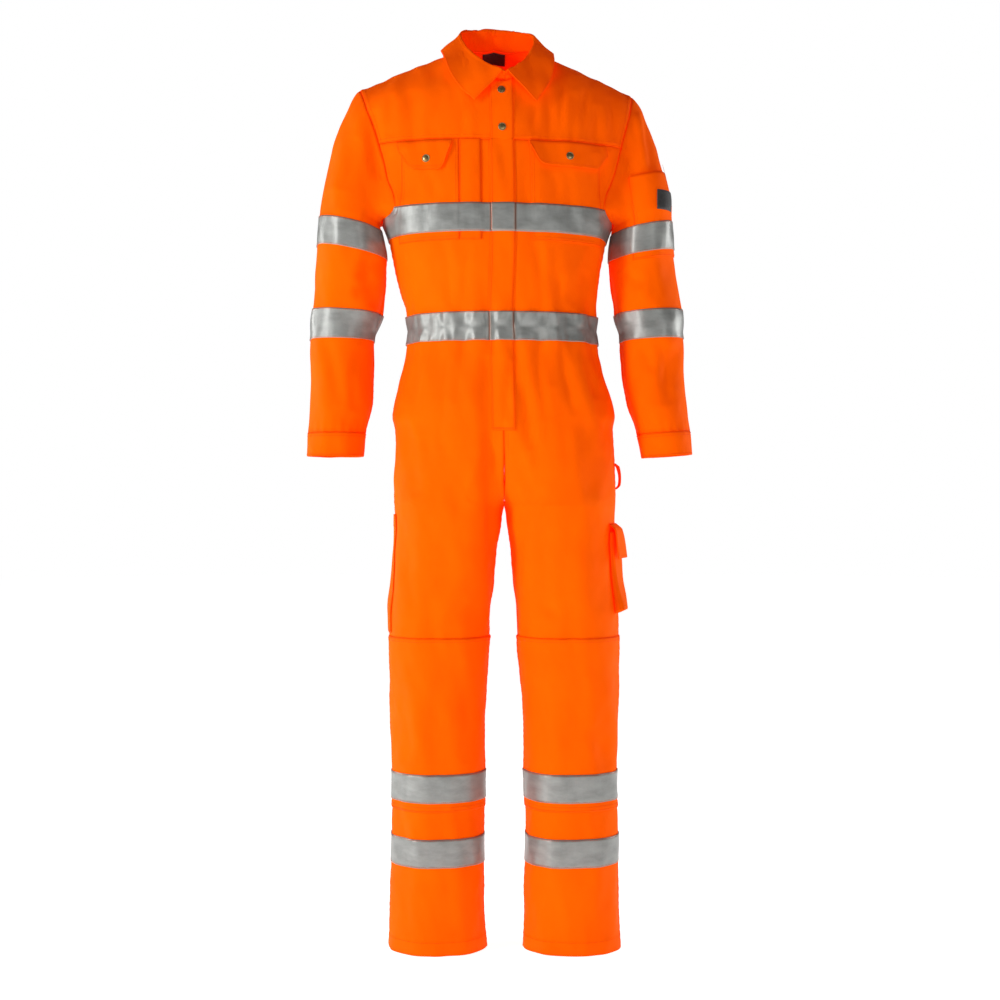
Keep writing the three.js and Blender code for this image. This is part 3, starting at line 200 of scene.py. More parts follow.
# The largest folds and the smaller creases, each a soft trough (depth below 0) or ridge along a line
FOLDS = [
    ("front", -27, 1040, -17, 620, 15, -11),
    ("front", -46, 1040, -48, 640, 20, 4),
    ("front", 24, 1060, 46, 880, 12, -7),
    ("front", 14, 1030, 6, 930, 11, -5),
    ("front", 112, 1075, 168, 870, 15, 6),
    ("front", -120, 1080, -150, 900, 16, 5),
    ("front", -60, 1085, -84, 960, 13, -4),
    ("front", 74, 1085, 88, 990, 13, -4),
    ("front", 90, 1506, 84, 1412, 12, -5),
    ("front", 132, 1500, 124, 1408, 12, -5),
    ("front", 168, 1480, 166, 1395, 12, -5),
    ("front", -150, 1500, -160, 1400, 14, -4),
    ("front", -170, 1320, -120, 1130, 20, 5),
    ("front", 176, 1225, 120, 1130, 18, -5),
    ("front", -150, 540, -140, 130, 22, 4),
    ("front", 82, 520, 86, 120, 22, 3),
    ("back", -70, 1085, -84, 940, 15, -6),
    ("back", 70, 1085, 84, 940, 15, -6),
    ("back", -128, 1080, -146, 930, 15, -5),
    ("back", 128, 1080, 146, 930, 15, -5),
    ("back", -40, 1270, -96, 1105, 18, -6),
    ("back", 40, 1270, 96, 1105, 18, -6),
    ("back", -60, 860, -110, 700, 20, -6),
    ("back", 60, 860, 110, 700, 20, -6),
    ("back", -150, 620, -80, 540, 18, -5),
    ("back", 150, 620, 80, 540, 18, -5),
    ("front", 243, 1478, 258, 1372, 9, 6),
    ("front", 258, 1478, 268, 1372, 8, -5),
    ("front", -222, 1470, -206, 1350, 15, -6),
    ("front", -232, 1215, -226, 1130, 13, -6),
    ("front", 298, 1060, 268, 960, 15, -5),
    ("back", -310, 1120, -262, 1030, 16, -6),
    ("back", 300, 1120, 250, 1030, 16, -6),
]
CREASES = [
    # Bodice, between the chest and the waist
    ("front", -96, 1228, -88, 1122, 9, -1.6),
    ("front", -58, 1232, -66, 1120, 8, -1.3),
    ("front", 62, 1230, 70, 1118, 9, -1.5),
    ("front", 104, 1180, 96, 1116, 8, -1.6),
    ("front", 150, 1190, 138, 1118, 10, -2.0),
    ("front", -142, 1200, -128, 1118, 9, -1.8),
    # Bodice, above the chest tape
    ("front", -122, 1352, -110, 1304, 9, -1.4),
    ("front", -178, 1392, -166, 1310, 10, -2.4),
    ("front", 184, 1398, 176, 1312, 10, -2.4),
    ("front", 92, 1352, 96, 1304, 9, -1.2),
    # Yokes
    ("front", 108, 1520, 102, 1416, 8, -2.4),
    ("front", 150, 1512, 144, 1416, 8, -2.2),
    ("front", 196, 1500, 200, 1420, 8, -2.4),
    ("front", -96, 1500, -128, 1420, 12, -2.2),
    ("front", -58, 1480, -70, 1416, 10, -1.4),
    ("front", -186, 1494, -196, 1420, 9, -2.2),
    ("front", 60, 1478, 52, 1420, 9, -1.6),
    # Trousers, below the waist
    ("front", -92, 1062, -110, 880, 10, -2.2),
    ("front", -140, 1060, -162, 960, 9, -2.0),
    ("front", 58, 1060, 74, 930, 9, -2.2),
    ("front", 98, 1062, 122, 940, 9, -2.4),
    ("front", 138, 1058, 160, 968, 9, -2.2),
    ("front", 34, 1000, 60, 820, 12, -2.6),
    ("front", -12, 880, -60, 790, 12, -2.4),
    ("front", 14, 868, 56, 792, 12, -2.2),
    ("front", 176, 930, 150, 800, 13, -2.4),
    ("front", -172, 930, -150, 800, 13, -2.4),
    # Legs
    ("front", -168, 790, -160, 590, 14, -2.2),
    ("front", 168, 790, 172, 600, 14, -2.2),
    ("front", 62, 760, 70, 590, 14, -2.0),
    ("front", -60, 620, -104, 585, 11, -1.8),
    ("front", 54, 626, 96, 590, 11, -1.8),
    ("front", -176, 470, -168, 330, 13, -2.2),
    ("front", -62, 478, -70, 336, 13, -2.0),
    ("front", 176, 440, 170, 322, 13, -2.0),
    ("front", 66, 480, 76, 352, 13, -1.8),
    ("front", 150, 400, 186, 330, 12, -2.0),
    ("front", -178, 148, -172, 32, 13, -1.8),
    ("front", 178, 146, 172, 32, 13, -1.8),
    ("front", -96, 140, -92, 34, 15, -1.2),
    # Back of the bodice and the yoke
    ("back", -120, 1396, -96, 1310, 12, -2.6),
    ("back", 120, 1392, 92, 1306, 12, -2.6),
    ("back", -30, 1390, -36, 1312, 12, -1.6),
    ("back", 24, 1240, 40, 1120, 11, -2.0),
    ("back", -140, 1230, -110, 1124, 11, -2.6),
    ("back", 138, 1236, 116, 1120, 11, -2.6),
    ("back", -8, 1210, -4, 1116, 10, -1.6),
    ("back", -110, 1500, -100, 1416, 12, -1.8),
    ("back", 104, 1502, 118, 1416, 12, -1.8),
    # Seat and the backs of the legs
    ("back", -30, 1060, -44, 960, 10, -2.2),
    ("back", 30, 1060, 40, 950, 10, -2.2),
    ("back", -20, 840, -88, 770, 13, -3.2),
    ("back", 20, 838, 90, 776, 13, -3.2),
    ("back", -12, 806, -70, 730, 12, -2.6),
    ("back", 12, 804, 66, 724, 12, -2.6),
    ("back", -172, 700, -100, 640, 13, -2.8),
    ("back", 172, 690, 104, 630, 13, -2.8),
    ("back", -60, 590, -140, 530, 12, -2.8),
    ("back", 62, 586, 142, 522, 12, -2.8),
    ("back", -160, 500, -90, 450, 13, -2.4),
    ("back", 160, 496, 92, 440, 13, -2.4),
    ("back", -110, 420, -122, 330, 14, -1.8),
    ("back", 108, 410, 124, 326, 14, -1.8),
    # Sleeves
    ("front", -292, 1330, -300, 1288, 12, -2.4),
    ("front", -246, 1420, -270, 1330, 12, -2.6),
    ("front", -214, 1216, -250, 1176, 11, -3.4),
    ("front", -218, 1180, -256, 1150, 10, -2.8),
    ("front", -300, 1068, -286, 960, 13, -2.2),
    ("front", -252, 1060, -262, 948, 12, -2.4),
    ("front", -262, 946, -276, 920, 9, -1.8),
    ("front", 218, 1196, 248, 1166, 11, -2.8),
    ("front", 262, 1210, 270, 1136, 11, -2.0),
    ("front", 240, 1066, 262, 1016, 11, -2.6),
    ("front", 284, 1068, 292, 960, 12, -2.4),
    ("front", 306, 1066, 300, 990, 10, -2.0),
    ("back", -226, 1204, -286, 1164, 13, -3.0),
    ("back", 226, 1204, 284, 1160, 13, -3.0),
    ("back", -240, 1068, -312, 1028, 13, -3.0),
    ("back", 238, 1062, 306, 1022, 13, -3.0),
    ("back", -300, 1000, -250, 944, 12, -2.4),
    ("back", 296, 996, 250, 942, 12, -2.4),
    ("back", -236, 1380, -262, 1300, 13, -2.6),
    ("back", 236, 1380, 262, 1300, 13, -2.6),
]
CREASE_DEPTH = 1.6
GATHER = {"count": 17, "height": 4.2, "above": 60, "below": 95}
FINE_GATHER = {"count": 41, "height": 1.3, "above": 34, "below": 62}

# Small unevenness of the worn cloth: soft waves that run mostly up and down, each of its own length
RIPPLE_COUNT = 26
RIPPLE_HEIGHT = 0.5
RIPPLE_LENGTHS = (26, 110)


def clamp01(value):
    return np.clip(value, 0, 1)


def mix(start, end, share):
    return start + (end - start) * share


def ease(share):
    return clamp01(share) ** 2 * (3 - 2 * clamp01(share))


def signed_power(value, power):
    return np.sign(value) * np.abs(value) ** power


def oval_cos(angle):
    return signed_power(np.cos(angle), 2 / ROUNDNESS)


def oval_sin(angle):
    return signed_power(np.sin(angle), 2 / ROUNDNESS)


def angle_of_sin(share):
    return np.arcsin(clamp01(share) ** (ROUNDNESS / 2))


def points(x, y, h):
    return np.stack(np.broadcast_arrays(x, y, h), axis=-1).astype(float)


def length_of(vectors):
    return np.sqrt((vectors**2).sum(axis=-1, keepdims=True))


def unit(vectors):
    return vectors / np.maximum(length_of(vectors), 1e-12)


def fine(breaks, step):
    """The places named, with even steps of at most this size between them."""
    values = [breaks[0]]
    for start, end in zip(breaks, breaks[1:]):
        count = max(1, math.ceil(abs(end - start) / step - 1e-6))
        values += [start + (end - start) * k / count for k in range(1, count + 1)]
    return np.array(values, dtype=float)


def between(values, start, end):
    return values[(values >= start - 1e-6) & (values <= end + 1e-6)]


# Folds, creases, gathers and ripples

def fold_lift(front, x, h):
    lift = np.zeros_like(x)
    small = [(*crease[:-1], crease[-1] * CREASE_DEPTH) for crease in CREASES]
    for face, x1, h1, x2, h2, width, depth in FOLDS + small:
        run_x, run_h = x2 - x1, h2 - h1
        along = clamp01(((x - x1) * run_x + (h - h1) * run_h) / (run_x**2 + run_h**2))
        away = np.hypot(x - x1 - along * run_x, h - h1 - along * run_h)
        soft = depth * np.exp(-((away / width) ** 2)) * np.sqrt(np.sin(np.pi * along))
        lift += np.where(front == (face == "front"), soft, 0)
    return lift


def gather_lift(p, gather, wander=0.0):
    above = p[..., 2] > WAIST_HEIGHT
    reach = np.where(above, gather["above"], gather["below"])
    share = clamp01(np.abs(p[..., 2] - WAIST_HEIGHT) / reach)
    strength = np.sin(np.pi * share) * (1 - share)
    around = np.arctan2(p[..., 0], np.abs(p[..., 1]))
    uneven = wander * np.sin(around * 7.3 + 1.1) + wander * np.sin(around * 12.9 + p[..., 2] * 0.02)
    return gather["height"] * strength * np.cos(around * gather["count"] + uneven)


def ripple_waves():
    chance = np.random.default_rng(7)
    shortest, longest = RIPPLE_LENGTHS
    lengths = shortest * (longest / shortest) ** chance.random(RIPPLE_COUNT)
    heading = chance.random(RIPPLE_COUNT) * 2 * np.pi
    climb = chance.normal(0, 0.32, RIPPLE_COUNT)
    ways = np.stack([np.cos(heading), np.sin(heading), climb], axis=1) * (2 * np.pi / lengths)[:, None]
    heights = RIPPLE_HEIGHT * (lengths / longest) ** 0.8
    return ways, heights, chance.random(RIPPLE_COUNT) * 2 * np.pi


RIPPLES = ripple_waves()


def ripple_lift(p):
    ways, heights, starts = RIPPLES
    lift = np.zeros(p.shape[:-1])
    for way, height, start in zip(ways, heights, starts):
        lift += height * np.sin(p @ way + start)
    return lift


# Points of the worn cloth

def outward_at(surface, u, v):
    tiny = 1e-3
    across = surface(u + tiny, v) - surface(u - tiny, v)
    upward = surface(u, v + tiny) - surface(u, v - tiny)
    return unit(np.cross(across, upward))


def on_surface(surface, u, v):
    """Base points and outward directions over a grid of places."""
    u, v = np.broadcast_arrays(np.asarray(u, dtype=float), np.asarray(v, dtype=float))
    return surface(u, v), outward_at(surface, u, v)


def worn(base, out, mirror=False, middle=None, flat=False):
    """Lifts base points by the folds and by their layer. A point keeps to its own side of the middle."""
    p, normal = base[0].copy(), base[1].copy()
    if middle is not None:
        p[..., 0] = np.where(middle, 0, p[..., 0])
        normal[..., 0] = np.where(middle, 0, normal[..., 0])
        normal = unit(normal)
    flip = np.where(mirror, -1.0, 1.0)
    p[..., 0] *= flip
    normal[..., 0] *= flip
    facing = ease(np.abs(normal[..., 1]) * 1.6)
    lift = fold_lift(normal[..., 1] < 0, p[..., 0], p[..., 2]) * facing + gather_lift(p, GATHER)
    lift = lift + gather_lift(p, FINE_GATHER, 1.2)
    lift = np.where(flat, 0, lift) + ripple_lift(p)
    lifted = p + normal * (lift + out)[..., None]
    side = np.sign(p[..., 0])
    apart = side * np.maximum(side * lifted[..., 0], HALF_GAP)
    lifted[..., 0] = np.where(np.abs(p[..., 0]) <= HALF_GAP, p[..., 0], apart)
    return lifted


def stand(p):
    """From the tables' frame in millimetres to the garment's own in metres."""
    turn = np.radians(STANCE.read("turn", p[..., 2]))
    sway = STANCE.read("sway", p[..., 2])
    return points(
        p[..., 0] * np.cos(turn) - p[..., 1] * np.sin(turn) + sway,
        p[..., 0] * np.sin(turn) + p[..., 1] * np.cos(turn),
        p[..., 2] - SHOULDER_HEIGHT,
    ) / 1000


# Trousers. A front panel runs from the middle or the inseam (0) to the side seam (1), a back panel on
# from there (0) to the inseam or the middle (1).

FRONT_DEPTH = 110
BACK_DEPTH = 120
FLY_COLUMN = 0.1


def seam_angle(depth):
    return float(angle_of_sin(HALF_GAP / depth))


def trouser_ring(h, angle):
    depth = np.where(angle >= 0, TROUSERS.read("front", h), TROUSERS.read("back", h))
    return points(
        TROUSERS.read("centre", h) + TROUSERS.read("half", h) * oval_cos(angle),
        TROUSERS.read("middle", h) - depth * oval_sin(angle),
        h,
    )


def angle_at_x(h, x, depth):
    reach = (TROUSERS.read("centre", h) - x) / TROUSERS.read("half", h)
    inner = math.pi - seam_angle(depth)
    turned = np.arccos(-signed_power(np.clip(reach, -1, 1), ROUNDNESS / 2))
    return np.where(reach >= 1, inner, np.minimum(turned, inner))


def trouser_front(u, h):
    middle = angle_at_x(h, HALF_GAP, FRONT_DEPTH)
    side = seam_angle(FRONT_DEPTH)
    above = ease((h - CROTCH_HEIGHT - 40) / (FLY_END_HEIGHT - CROTCH_HEIGHT - 40))
    beside = mix(mix(middle, side, FLY_COLUMN), angle_at_x(h, PLACKET_HALF_WIDTH, FRONT_DEPTH), above)
    inner = mix(middle, beside, u / FLY_COLUMN)
    outer = mix(beside, side, (u - FLY_COLUMN) / (1 - FLY_COLUMN))
    return trouser_ring(h, np.where(u <= FLY_COLUMN, inner, outer))


def trouser_back(u, h):
    return trouser_ring(h, -mix(seam_angle(BACK_DEPTH), angle_at_x(h, HALF_GAP, BACK_DEPTH), u))


def trouser_side(u, h):
    return trouser_ring(h, -u)


# Bodice. u is the distance from the middle at the pockets' height, and BODICE_EDGE at the side.

POCKET_EDGE = 172
BODICE_EDGE = 200
SIDE_SEAM_ANGLE = math.pi / 2 - float(angle_of_sin(HALF_GAP / BACK_DEPTH))


def bodice_ring(face, h, angle):
    depth = BODICE.read(face, h) * (-1 if face == "front" else 1)
    return points(BODICE.read("half", h) * oval_sin(angle), depth * oval_cos(angle), h)


def bodice_end_angle(h):
    cut = angle_of_sin(ARMHOLE.read("x", h) / BODICE.read("half", h))
    return np.where(h <= UNDERARM_HEIGHT, SIDE_SEAM_ANGLE, np.minimum(cut, SIDE_SEAM_ANGLE))


def bodice_front(u, h):
    half = BODICE.read("half", h)
    narrowing = np.minimum(1, half / BODICE.read("half", POCKET_END_HEIGHT))
    inner = 48
    x = np.where(u <= inner, u, inner + (np.minimum(u, POCKET_EDGE) - inner) * narrowing)
    angle = np.sign(x) * angle_of_sin(np.abs(x) / half)
    past = mix(angle, bodice_end_angle(h), (u - POCKET_EDGE) / (BODICE_EDGE - POCKET_EDGE))
    return bodice_ring("front", h, np.where(u <= POCKET_EDGE, angle, past))


def bodice_back(u, h):
    return bodice_ring("back", h, -u * bodice_end_angle(h))


# Yokes: arches from the yoke seam over the shoulder line. share runs from the middle to the armhole.

def ridge_height(face, x):
    away = np.abs(x)
    rise = BACK_NECK_RISE * (1 - clamp01(away / NECK_SIDE_X) ** 2) if face == "back" else 0
    return SHOULDER_LINE.read("h", away) + rise


def yoke_armhole_x(angle):
    return mix(float(ARMHOLE.read("x", YOKE_HEIGHT)), SHOULDER_TIP_X, np.sin(angle))


YOKE_HALF_SHARE = float(BODICE.read("half", YOKE_HEIGHT)) / float(yoke_armhole_x(0))


def yoke_arch(face, share, angle):
    side = -1 if face == "front" else 1
    x = share * yoke_armhole_x(angle)
    reach = (1 - (np.abs(share) / YOKE_HALF_SHARE) ** ROUNDNESS) ** (1 / ROUNDNESS)
    base_y = side * float(BODICE.read(face, YOKE_HEIGHT)) * reach
    drop = signed_power(np.cos(angle), 1.15 if face == "front" else 1)
    return points(
        x,
        mix(SHOULDER_MIDDLE_Y, base_y, drop),
        mix(YOKE_HEIGHT, ridge_height(face, x), np.sin(angle)),
    )


FRONT_NECK_ANGLE = math.asin((FRONT_NECK_HEIGHT - YOKE_HEIGHT) / (float(ridge_height("front", 0)) - YOKE_HEIGHT))
NECK_SHARE = NECK_SIDE_X / SHOULDER_TIP_X
YOKE_START = HALF_GAP / 200
YOKE_END = math.pi / 2 - HALF_GAP / 110


def yoke_end_angle(face, share):
    across = np.abs(share) / NECK_SHARE
    if face == "front":
        inside = mix(FRONT_NECK_ANGLE, YOKE_END, clamp01(across) ** NECKLINE_CURVE)
    else:
        inside = mix(YOKE_END, BACK_NECK_ANGLE, clamp01(1 - across**2) ** 0.6)
    return np.where(across >= 1, YOKE_END, inside)


def yoke_front(u, v):
    return yoke_arch("front", u, mix(YOKE_START, yoke_end_angle("front", u), v))


def yoke_back(u, v):
    return yoke_arch("back", -u, mix(YOKE_START, yoke_end_angle("back", u), v))


# The armhole, from the underarm (share 0) to the shoulder tip (share 1)

def armhole_point(face, share):
    angle = mix(YOKE_START, YOKE_END, (share - YOKE_SHARE) / (1 - YOKE_SHARE))
    h = ARMHOLE_ROWS.read("h", share)
    in_yoke = yoke_arch(face, np.ones_like(share), angle)
    in_bodice = bodice_ring(face, h, bodice_end_angle(h))
    return np.where((share > YOKE_SHARE)[..., None], in_yoke, in_bodice)


def armhole_edge(face, share):
    """The edge's points, with the directions out of the cloth there and past its edge."""
    share = np.asarray(share, dtype=float)
    front = face == "front"
    side = 1 if front else -1
    at_side = np.full_like(share, side)
    yoke = yoke_front if front else yoke_back
    bodice = bodice_front if front else bodice_back
    yoke_v = (share - YOKE_SHARE) / (1 - YOKE_SHARE)
    bodice_u = np.full_like(share, BODICE_EDGE if front else -1)
    bodice_h = ARMHOLE_ROWS.read("h", share)
    above = (share > YOKE_SHARE + 1e-6)[..., None]
    place = np.where(above, yoke(at_side, yoke_v), bodice(bodice_u, bodice_h))
    outward = np.where(above, outward_at(yoke, at_side, yoke_v), outward_at(bodice, bodice_u, bodice_h))
    along = armhole_point(face, np.minimum(share + 0.02, 1)) - armhole_point(face, np.maximum(share - 0.02, 0))
    return place, outward, unit(np.cross(along, outward)) * side


# Sleeves. u runs from the underarm seam round the back, the outside and the front. v runs down: the
# armhole (0), the end of the sleeve head (1), the end of the cuff (2).

def sleeve_ring(sections, h, turn):
    from_centre = -sections.read("half", h) * oval_cos(turn)
    return points(
        sections.read("centre", h) + from_centre,
        sections.read("middle", h) - sections.read("depth", h) * oval_sin(turn),
        h + from_centre * np.tan(np.radians(sections.read("tilt", h))),
    )


def sleeve_head(sections, face, share, turn, v):
    end_h = np.full_like(share, SLEEVE_HEAD_END_HEIGHT)
    start = armhole_point(face, share)
    end = sleeve_ring(sections, end_h, turn)
    below = sleeve_ring(sections, end_h - 10, turn)
    _, outward, past = armhole_edge(face, share)
    upper = ease(share * 2.2)[..., None]
    leave = past * mix(20, 22, upper) + outward * mix(14, 3, upper)
    leave = leave + np.array([0.77, 0, -0.64]) * (70 * share**1.5)[..., None]
    arrive = unit(below - end) * mix(12, 260, share**2)[..., None]
    v = v[..., None]
    return (
        start * (2 * v**3 - 3 * v**2 + 1)
        + leave * (v**3 - 2 * v**2 + v)
        + end * (3 * v**2 - 2 * v**3)
        + arrive * (v**3 - v**2)
    )


def sleeve_surface(sections):
    def surface(u, v):
        u, v = np.broadcast_arrays(np.asarray(u, dtype=float), np.asarray(v, dtype=float))
        front = u > 0.5
        seam = np.where((u >= 0) & (u <= 1), float(angle_of_sin(HALF_GAP / 70)) / math.pi, -1)
        share = np.maximum(np.where(front, 2 * (1 - u), 2 * u), seam)
        turn = np.pi * share * np.where(front, 1, -1)
        h = mix(SLEEVE_HEAD_END_HEIGHT, CUFF_END_HEIGHT, v - 1)
        head_v = np.minimum(v, 1)
        ahead = sleeve_head(sections, "front", clamp01(share), turn, head_v)
        behind = sleeve_head(sections, "back", clamp01(share), turn, head_v)
        head = np.where(front[..., None], ahead, behind)
        return np.where((v > 1)[..., None], sleeve_ring(sections, h, turn), head)

    return surface


def sleeve_v(h):
    return 1 + (SLEEVE_HEAD_END_HEIGHT - np.asarray(h, dtype=float)) / (SLEEVE_HEAD_END_HEIGHT - CUFF_END_HEIGHT)


left_sleeve = sleeve_surface(LEFT_SLEEVE)
right_sleeve = sleeve_surface(RIGHT_SLEEVE)


# Collar: it stands up from the neckline, turns over at the roll line and lies on the shoulders.
# u runs along the neckline from the wearer's left front end (-2) to the right one (2).

def shoulder_arch(share, turn):
    ahead = yoke_arch("front", share, np.minimum(turn, np.pi / 2))
    behind = yoke_arch("back", share, np.pi - np.maximum(turn, np.pi / 2))
    return np.where((turn <= np.pi / 2)[..., None], ahead, behind)


def neckline_point(seam):
    front = seam > 1
    share = NECK_SHARE * np.where(front, 2 - seam, seam)
    ahead = yoke_arch("front", share, yoke_end_angle("front", share))
    behind = yoke_arch("back", share, yoke_end_angle("back", share))
    return np.where(front[..., None], ahead, behind)


def collar_surface(u, v):
    u, v = np.broadcast_arrays(np.asarray(u, dtype=float), np.asarray(v, dtype=float))
    seam = np.abs(u)
    turn = np.radians(COLLAR.read("edge_turn", seam))
    edge_share = COLLAR.read("edge_x", seam) / yoke_armhole_x(turn)
    lift = outward_at(shoulder_arch, edge_share, turn) * COLLAR.read("lift", seam)[..., None]
    edge = shoulder_arch(edge_share, turn) + lift
    roll = points(COLLAR.read("roll_x", seam), COLLAR.read("roll_y", seam), COLLAR.read("roll_h", seam))
    outward = unit((edge - roll) * np.array([1, 1, 0]))
    inside = roll - outward * COLLAR_ROLL_WIDTH / 2
    outside = roll + outward * COLLAR_ROLL_WIDTH / 2
    over = ((v - COLLAR_ROLL_START) / (COLLAR_ROLL_END - COLLAR_ROLL_START))[..., None]
    rise = COLLAR_ROLL_RISE * np.sin(np.pi * over) * np.array([0, 0, 1])
    rolled = mix(inside, outside, over) + rise
    rising = mix(neckline_point(seam), inside, (v / COLLAR_ROLL_START)[..., None])
    lying = mix(outside, edge, ((v - COLLAR_ROLL_END) / (1 - COLLAR_ROLL_END))[..., None])
    p = np.where((v < COLLAR_ROLL_START)[..., None], rising, rolled)
    p = np.where((v > COLLAR_ROLL_END)[..., None], lying, p)
    side = np.where(u < 0, 1, -1)
    return points(p[..., 0] * side + COLLAR_SHIFT * (seam / 2) ** 4, p[..., 1], p[..., 2])


def neckline_base(u):
    """The place at the neckline from which the collar rises, just past the yoke's edge."""
    seam = np.abs(u)
    front = seam > 1
    share = np.maximum(NECK_SHARE * np.where(front, 2 - seam, seam), HALF_GAP / SHOULDER_TIP_X)
    one = np.ones_like(share)
    p = np.where(front[..., None], yoke_front(share, one), yoke_back(-share, one))
    outward = np.where(
        front[..., None], outward_at(yoke_front, share, one), outward_at(yoke_back, -share, one)
    )
    along = neckline_point(seam + 0.02) - neckline_point(seam - 0.02)
    past = unit(np.cross(along, outward))
    return p + past * 2 * GAP, outward


def place_at(surface, x, h, u, v):
    """The places on a surface at a distance across and a height, found from places near them."""
    tiny = 1e-4
    for _ in range(12):
        p = surface(u, v)
        by_u = (surface(u + tiny, v) - p) / tiny
        by_v = (surface(u, v + tiny) - p) / tiny
        area = by_u[..., 0] * by_v[..., 2] - by_u[..., 2] * by_v[..., 0]
        off_x, off_h = x - p[..., 0], h - p[..., 2]
        u = u + (off_x * by_v[..., 2] - off_h * by_v[..., 0]) / area
        v = v + (off_h * by_u[..., 0] - off_x * by_u[..., 2]) / area
    return u, v


# Meshes. Every cloth piece is a sheet over a grid of points, with its threads' directions as a UV map in
# metres and its nearness to its own edges as an attribute. A wall thickness finishes it.

EDGE_REACH = 0.007


def running_lengths(grid, axis):
    steps_along = length_of(np.diff(grid, axis=axis))[..., 0]
    first = np.zeros_like(np.take(steps_along, [0], axis=axis))
    return np.cumsum(np.concatenate([first, steps_along], axis=axis), axis=axis)


def sheet_object(name, grid, thickness, material, seamless=False):
    rows, columns = grid.shape[:2]
    number = np.arange(rows * columns).reshape(rows, columns)
    corners = [number[:-1, :-1], number[:-1, 1:], number[1:, 1:], number[1:, :-1]]
    faces = np.stack([corner.ravel() for corner in corners], axis=1)
    mesh = bpy.data.meshes.new(name)
    mesh.from_pydata(grid.reshape(-1, 3).tolist(), [], faces.tolist())

    across = running_lengths(grid, 1)
    upward = running_lengths(grid, 0)
    middle = columns // 2
    threads = np.stack([across - across[:, middle:middle + 1], np.broadcast_to(
        upward[:, middle:middle + 1], across.shape)], axis=-1).reshape(-1, 2)
    uv_map = mesh.uv_layers.new(name="threads")
    uv_map.data.foreach_set("uv", threads[faces.ravel()].astype(np.float32).ravel())

    to_sides = np.minimum(across, across[:, -1:] - across)
    to_ends = np.minimum(upward, upward[-1:, :] - upward)
    nearest = to_ends if seamless else np.minimum(to_sides, to_ends)
    edge = mesh.attributes.new("edge", "FLOAT", "POINT")
    edge.data.foreach_set("value", np.exp(-nearest / EDGE_REACH).astype(np.float32).ravel())

    mesh.shade_smooth()
    obj = bpy.data.objects.new(name, mesh)
    bpy.context.scene.collection.objects.link(obj)
    obj.data.materials.append(material)
    wall = obj.modifiers.new("wall", "SOLIDIFY")
    wall.thickness = thickness / 1000
    wall.offset = -1
    wall.use_even_offset = False
    return obj


def seam_relief(distance, lapped=False):
    """The edge of a sewn panel dips into its seam, and a lapped seam also stands up as a flat welt."""
    dip = -0.75 * np.exp(-((distance / 1.6) ** 2))
    if not lapped:
        return dip
    welt = 0.55 * ease((8.6 - distance) / 1.6) * ease(distance / 1.2)
    rows = -0.22 * (np.exp(-((distance - 1.7) ** 2)) + np.exp(-((distance - 7.2) ** 2)))
    return dip + welt + rows


def pucker(distance, along, reach=7.0, height=0.32, length=13.0):
    """Small ripples that sewing draws up beside a seam."""
    uneven = along / length + 0.35 * np.sin(along / 31.0) + 0.2 * np.sin(along / 17.0 + 1.3)
    return height * np.exp(-((distance / reach) ** 2)) * np.sin(2 * np.pi * uneven)


# Sewing. One stitch is modelled and copied along every row of sewing, and each row group is one mesh.

STITCH_PITCH = 3.3
STITCH = {"length": 2.5, "width": 0.62, "height": 0.42}


def stitch_pattern():
    """A short plump thread: a six-sided bar along X, narrowed and dipped at both ends."""
    bpy.ops.object.select_all(action="DESELECT")
    bpy.ops.mesh.primitive_cylinder_add(vertices=5, radius=0.5, depth=1.0, rotation=(0, math.pi / 2, 0))
    bar = bpy.context.active_object
    bpy.ops.object.transform_apply(location=False, rotation=True, scale=True)
    bpy.ops.object.mode_set(mode="EDIT")
    bpy.ops.mesh.select_all(action="SELECT")
    bpy.ops.mesh.bisect(plane_co=(0, 0, 0), plane_no=(1, 0, 0))
    bpy.ops.object.mode_set(mode="OBJECT")
    shape = np.array([vertex.co for vertex in bar.data.vertices])
    faces = [list(face.vertices) for face in bar.data.polygons]
    bpy.data.objects.remove(bar)
    ends = np.abs(shape[:, 0]) > 0.3
    shape[:, 1:] *= np.where(ends, 0.55, 1.0)[:, None]
    shape[:, 2] -= np.where(ends, 0.45, 0.0)
    return shape * np.array([STITCH["length"], STITCH["width"], STITCH["height"]]), faces


